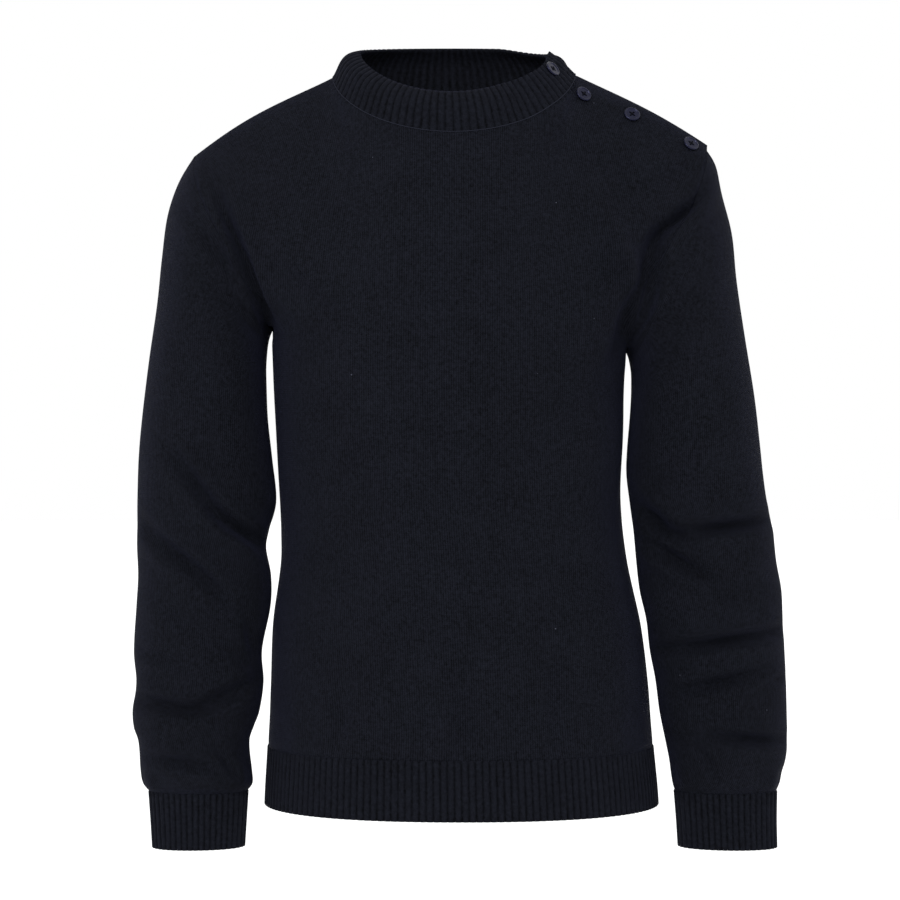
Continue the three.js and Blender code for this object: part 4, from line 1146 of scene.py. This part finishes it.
def make_button(name):
    """A four-hole button with a rim and a dished face, in the place of its solid"""
    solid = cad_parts[name]
    corners = [solid.matrix_world @ vertex.co for vertex in solid.data.vertices]
    centre = sum(corners, Vector()) / len(corners)
    facing = disc_facing(corners, centre)
    turned = facing.to_track_quat("Z", "Y").to_matrix().to_4x4()
    turned.translation = centre - facing * BUTTON_HEIGHT / 2 * MM

    disc = bmesh.new()
    edge = [disc.verts.new((radius * MM, 0, z * MM)) for radius, z in BUTTON_PROFILE]
    lines = [disc.edges.new(pair) for pair in zip(edge, edge[1:])]
    bmesh.ops.spin(disc, geom=edge + lines, cent=(0, 0, 0), axis=(0, 0, 1), dvec=(0, 0, 0),
                   angle=2 * pi, steps=BUTTON_SIDES, use_merge=True, use_duplicate=False)
    smooth_faces(disc)
    dish = bmesh.ops.create_circle(disc, cap_ends=False, radius=DISH_RADIUS * MM, segments=BUTTON_SIDES)
    bmesh.ops.translate(disc, verts=dish["verts"], vec=(0, 0, DISH_Z * MM))
    rim_edges = list({line for vertex in dish["verts"] for line in vertex.link_edges})
    hole_edges = []
    for x, y in HOLE_CORNERS:
        hole = bmesh.ops.create_circle(disc, cap_ends=False, radius=BUTTON_HOLE_RADIUS * MM,
                                       segments=HOLE_SIDES)
        offset = Vector((x * BUTTON_HOLE_OFFSET, y * BUTTON_HOLE_OFFSET, DISH_Z)) * MM
        bmesh.ops.translate(disc, verts=hole["verts"], vec=offset)
        hole_edges += list({line for vertex in hole["verts"] for line in vertex.link_edges})
    bmesh.ops.triangle_fill(disc, use_beauty=True, edges=rim_edges + hole_edges, normal=(0, 0, 1))
    walls = bmesh.ops.extrude_edge_only(disc, edges=hole_edges)
    sunk = [item for item in walls["geom"] if isinstance(item, bmesh.types.BMVert)]
    bmesh.ops.translate(disc, verts=sunk, vec=(0, 0, -BUTTON_HOLE_DEPTH * MM))
    bmesh.ops.remove_doubles(disc, verts=disc.verts, dist=1e-6)
    bmesh.ops.recalc_face_normals(disc, faces=disc.faces)
    bmesh.ops.transform(disc, matrix=turned, verts=disc.verts)
    piece = linked(name + "_disc", disc, glossy_button)
    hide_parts(name)

    sewing = bmesh.new()
    for end_x, end_y in ((1, 1), (1, -1)):
        for strand in (-1, 0, 1):
            path = []
            for share in even(-1, 1, THREAD_STEPS):
                side = strand * THREAD_SPACING
                reach = share * BUTTON_HOLE_OFFSET
                over_the_other = THREAD_RADIUS if end_y < 0 else 0
                z = DISH_Z + THREAD_RISE - THREAD_DIP * abs(share) ** 4 + over_the_other
                path.append(Vector((end_x * reach - side * end_y, end_y * reach + side * end_x, z)))
            tube_mesh(sewing, path, THREAD_RADIUS, THREAD_SIDES)
    smooth_faces(sewing)
    bmesh.ops.transform(sewing, matrix=turned, verts=sewing.verts)
    linked(name + "_sewing", sewing, sewing_thread)


def disc_facing(corners, centre):
    """The direction that a disc faces: square to two of its radii that are well apart"""
    radii = sorted((corner - centre for corner in corners), key=lambda radius: -radius.length)[:60]
    first = radii[0]
    second = max(radii, key=lambda radius: first.cross(radius).length)
    facing = Vector()
    for radius in radii:
        across = first.cross(radius)
        facing += across if across.dot(first.cross(second)) > 0 else -across
    facing.normalize()
    return facing if facing.y < 0 else -facing


panels, panel_normals = make_body_and_sleeves()
make_stand(panels[-1], panel_normals[-1])
make_hem_half("front_hem_rib", -1)
make_hem_half("back_hem_rib", 1)
make_cuff("right_cuff", RIGHT_CUFF)
make_cuff("left_cuff", LEFT_CUFF)
make_collar()
for number in (1, 2, 3, 4):
    make_button(f"button_{number}")

# The room: a white floor far below, a white sky, a soft light and a small one in front, one at each side
FLOOR_Z = -1.3
FLOOR_HALF_WIDTH = 30
floor_material = bpy.data.materials.new("white_floor")
floor_material.use_nodes = True
floor_shader = floor_material.node_tree.nodes["Principled BSDF"]
floor_shader.inputs["Base Color"].default_value = (1, 1, 1, 1)
floor_shader.inputs["Roughness"].default_value = 1
floor_shader.inputs["Emission Color"].default_value = (1, 1, 1, 1)
floor_shader.inputs["Emission Strength"].default_value = 0.25
floor_data = bmesh.new()
bmesh.ops.create_grid(floor_data, x_segments=1, y_segments=1, size=FLOOR_HALF_WIDTH)
bmesh.ops.translate(floor_data, verts=floor_data.verts, vec=(0, 0, FLOOR_Z))
floor_plane = mesh_object("floor", floor_data, floor_material)

world = bpy.data.worlds.new("white")
bpy.context.scene.world = world
world.use_nodes = True
sky = world.node_tree.nodes["Background"]
sky.inputs["Color"].default_value = (1, 1, 1, 1)
sky.inputs["Strength"].default_value = 1.0


def area_light(name, place, target, size, power, colour):
    light = bpy.data.lights.new(name, "AREA")
    light.shape = "RECTANGLE"
    light.size = size[0]
    light.size_y = size[1]
    light.energy = power
    light.color = colour
    lamp = new_object(name, light)
    lamp.location = place
    lamp.rotation_euler = (Vector(target) - Vector(place)).to_track_quat("-Z", "Y").to_euler()


area_light("front_soft", (-0.3, -1.7, 1.0), (0, 0, -0.25), (1.3, 0.9), 22, WHITE)
area_light("glint", (-1.0, -2.0, -0.1), (0.15, 0, -0.04), (0.2, 0.2), 3, WHITE)
area_light("side_right", (-1.9, -0.3, 0.1), (0, 0, -0.35), (0.7, 1.7), 3, SIDE_LIGHT)
area_light("side_left", (1.9, -0.3, 0.1), (0, 0, -0.35), (0.7, 1.7), 3, SIDE_LIGHT)

CAMERA_PLACE = (-0.0046, -2.2, -0.34)
camera_data = bpy.data.cameras.new("camera")
camera_data.lens = 95.6
camera_data.sensor_width = 36
camera = new_object("camera", camera_data)
camera.location = CAMERA_PLACE
camera.rotation_euler = (pi / 2, 0, 0)
bpy.context.scene.camera = camera
bpy.context.scene.view_settings.view_transform = "Standard"
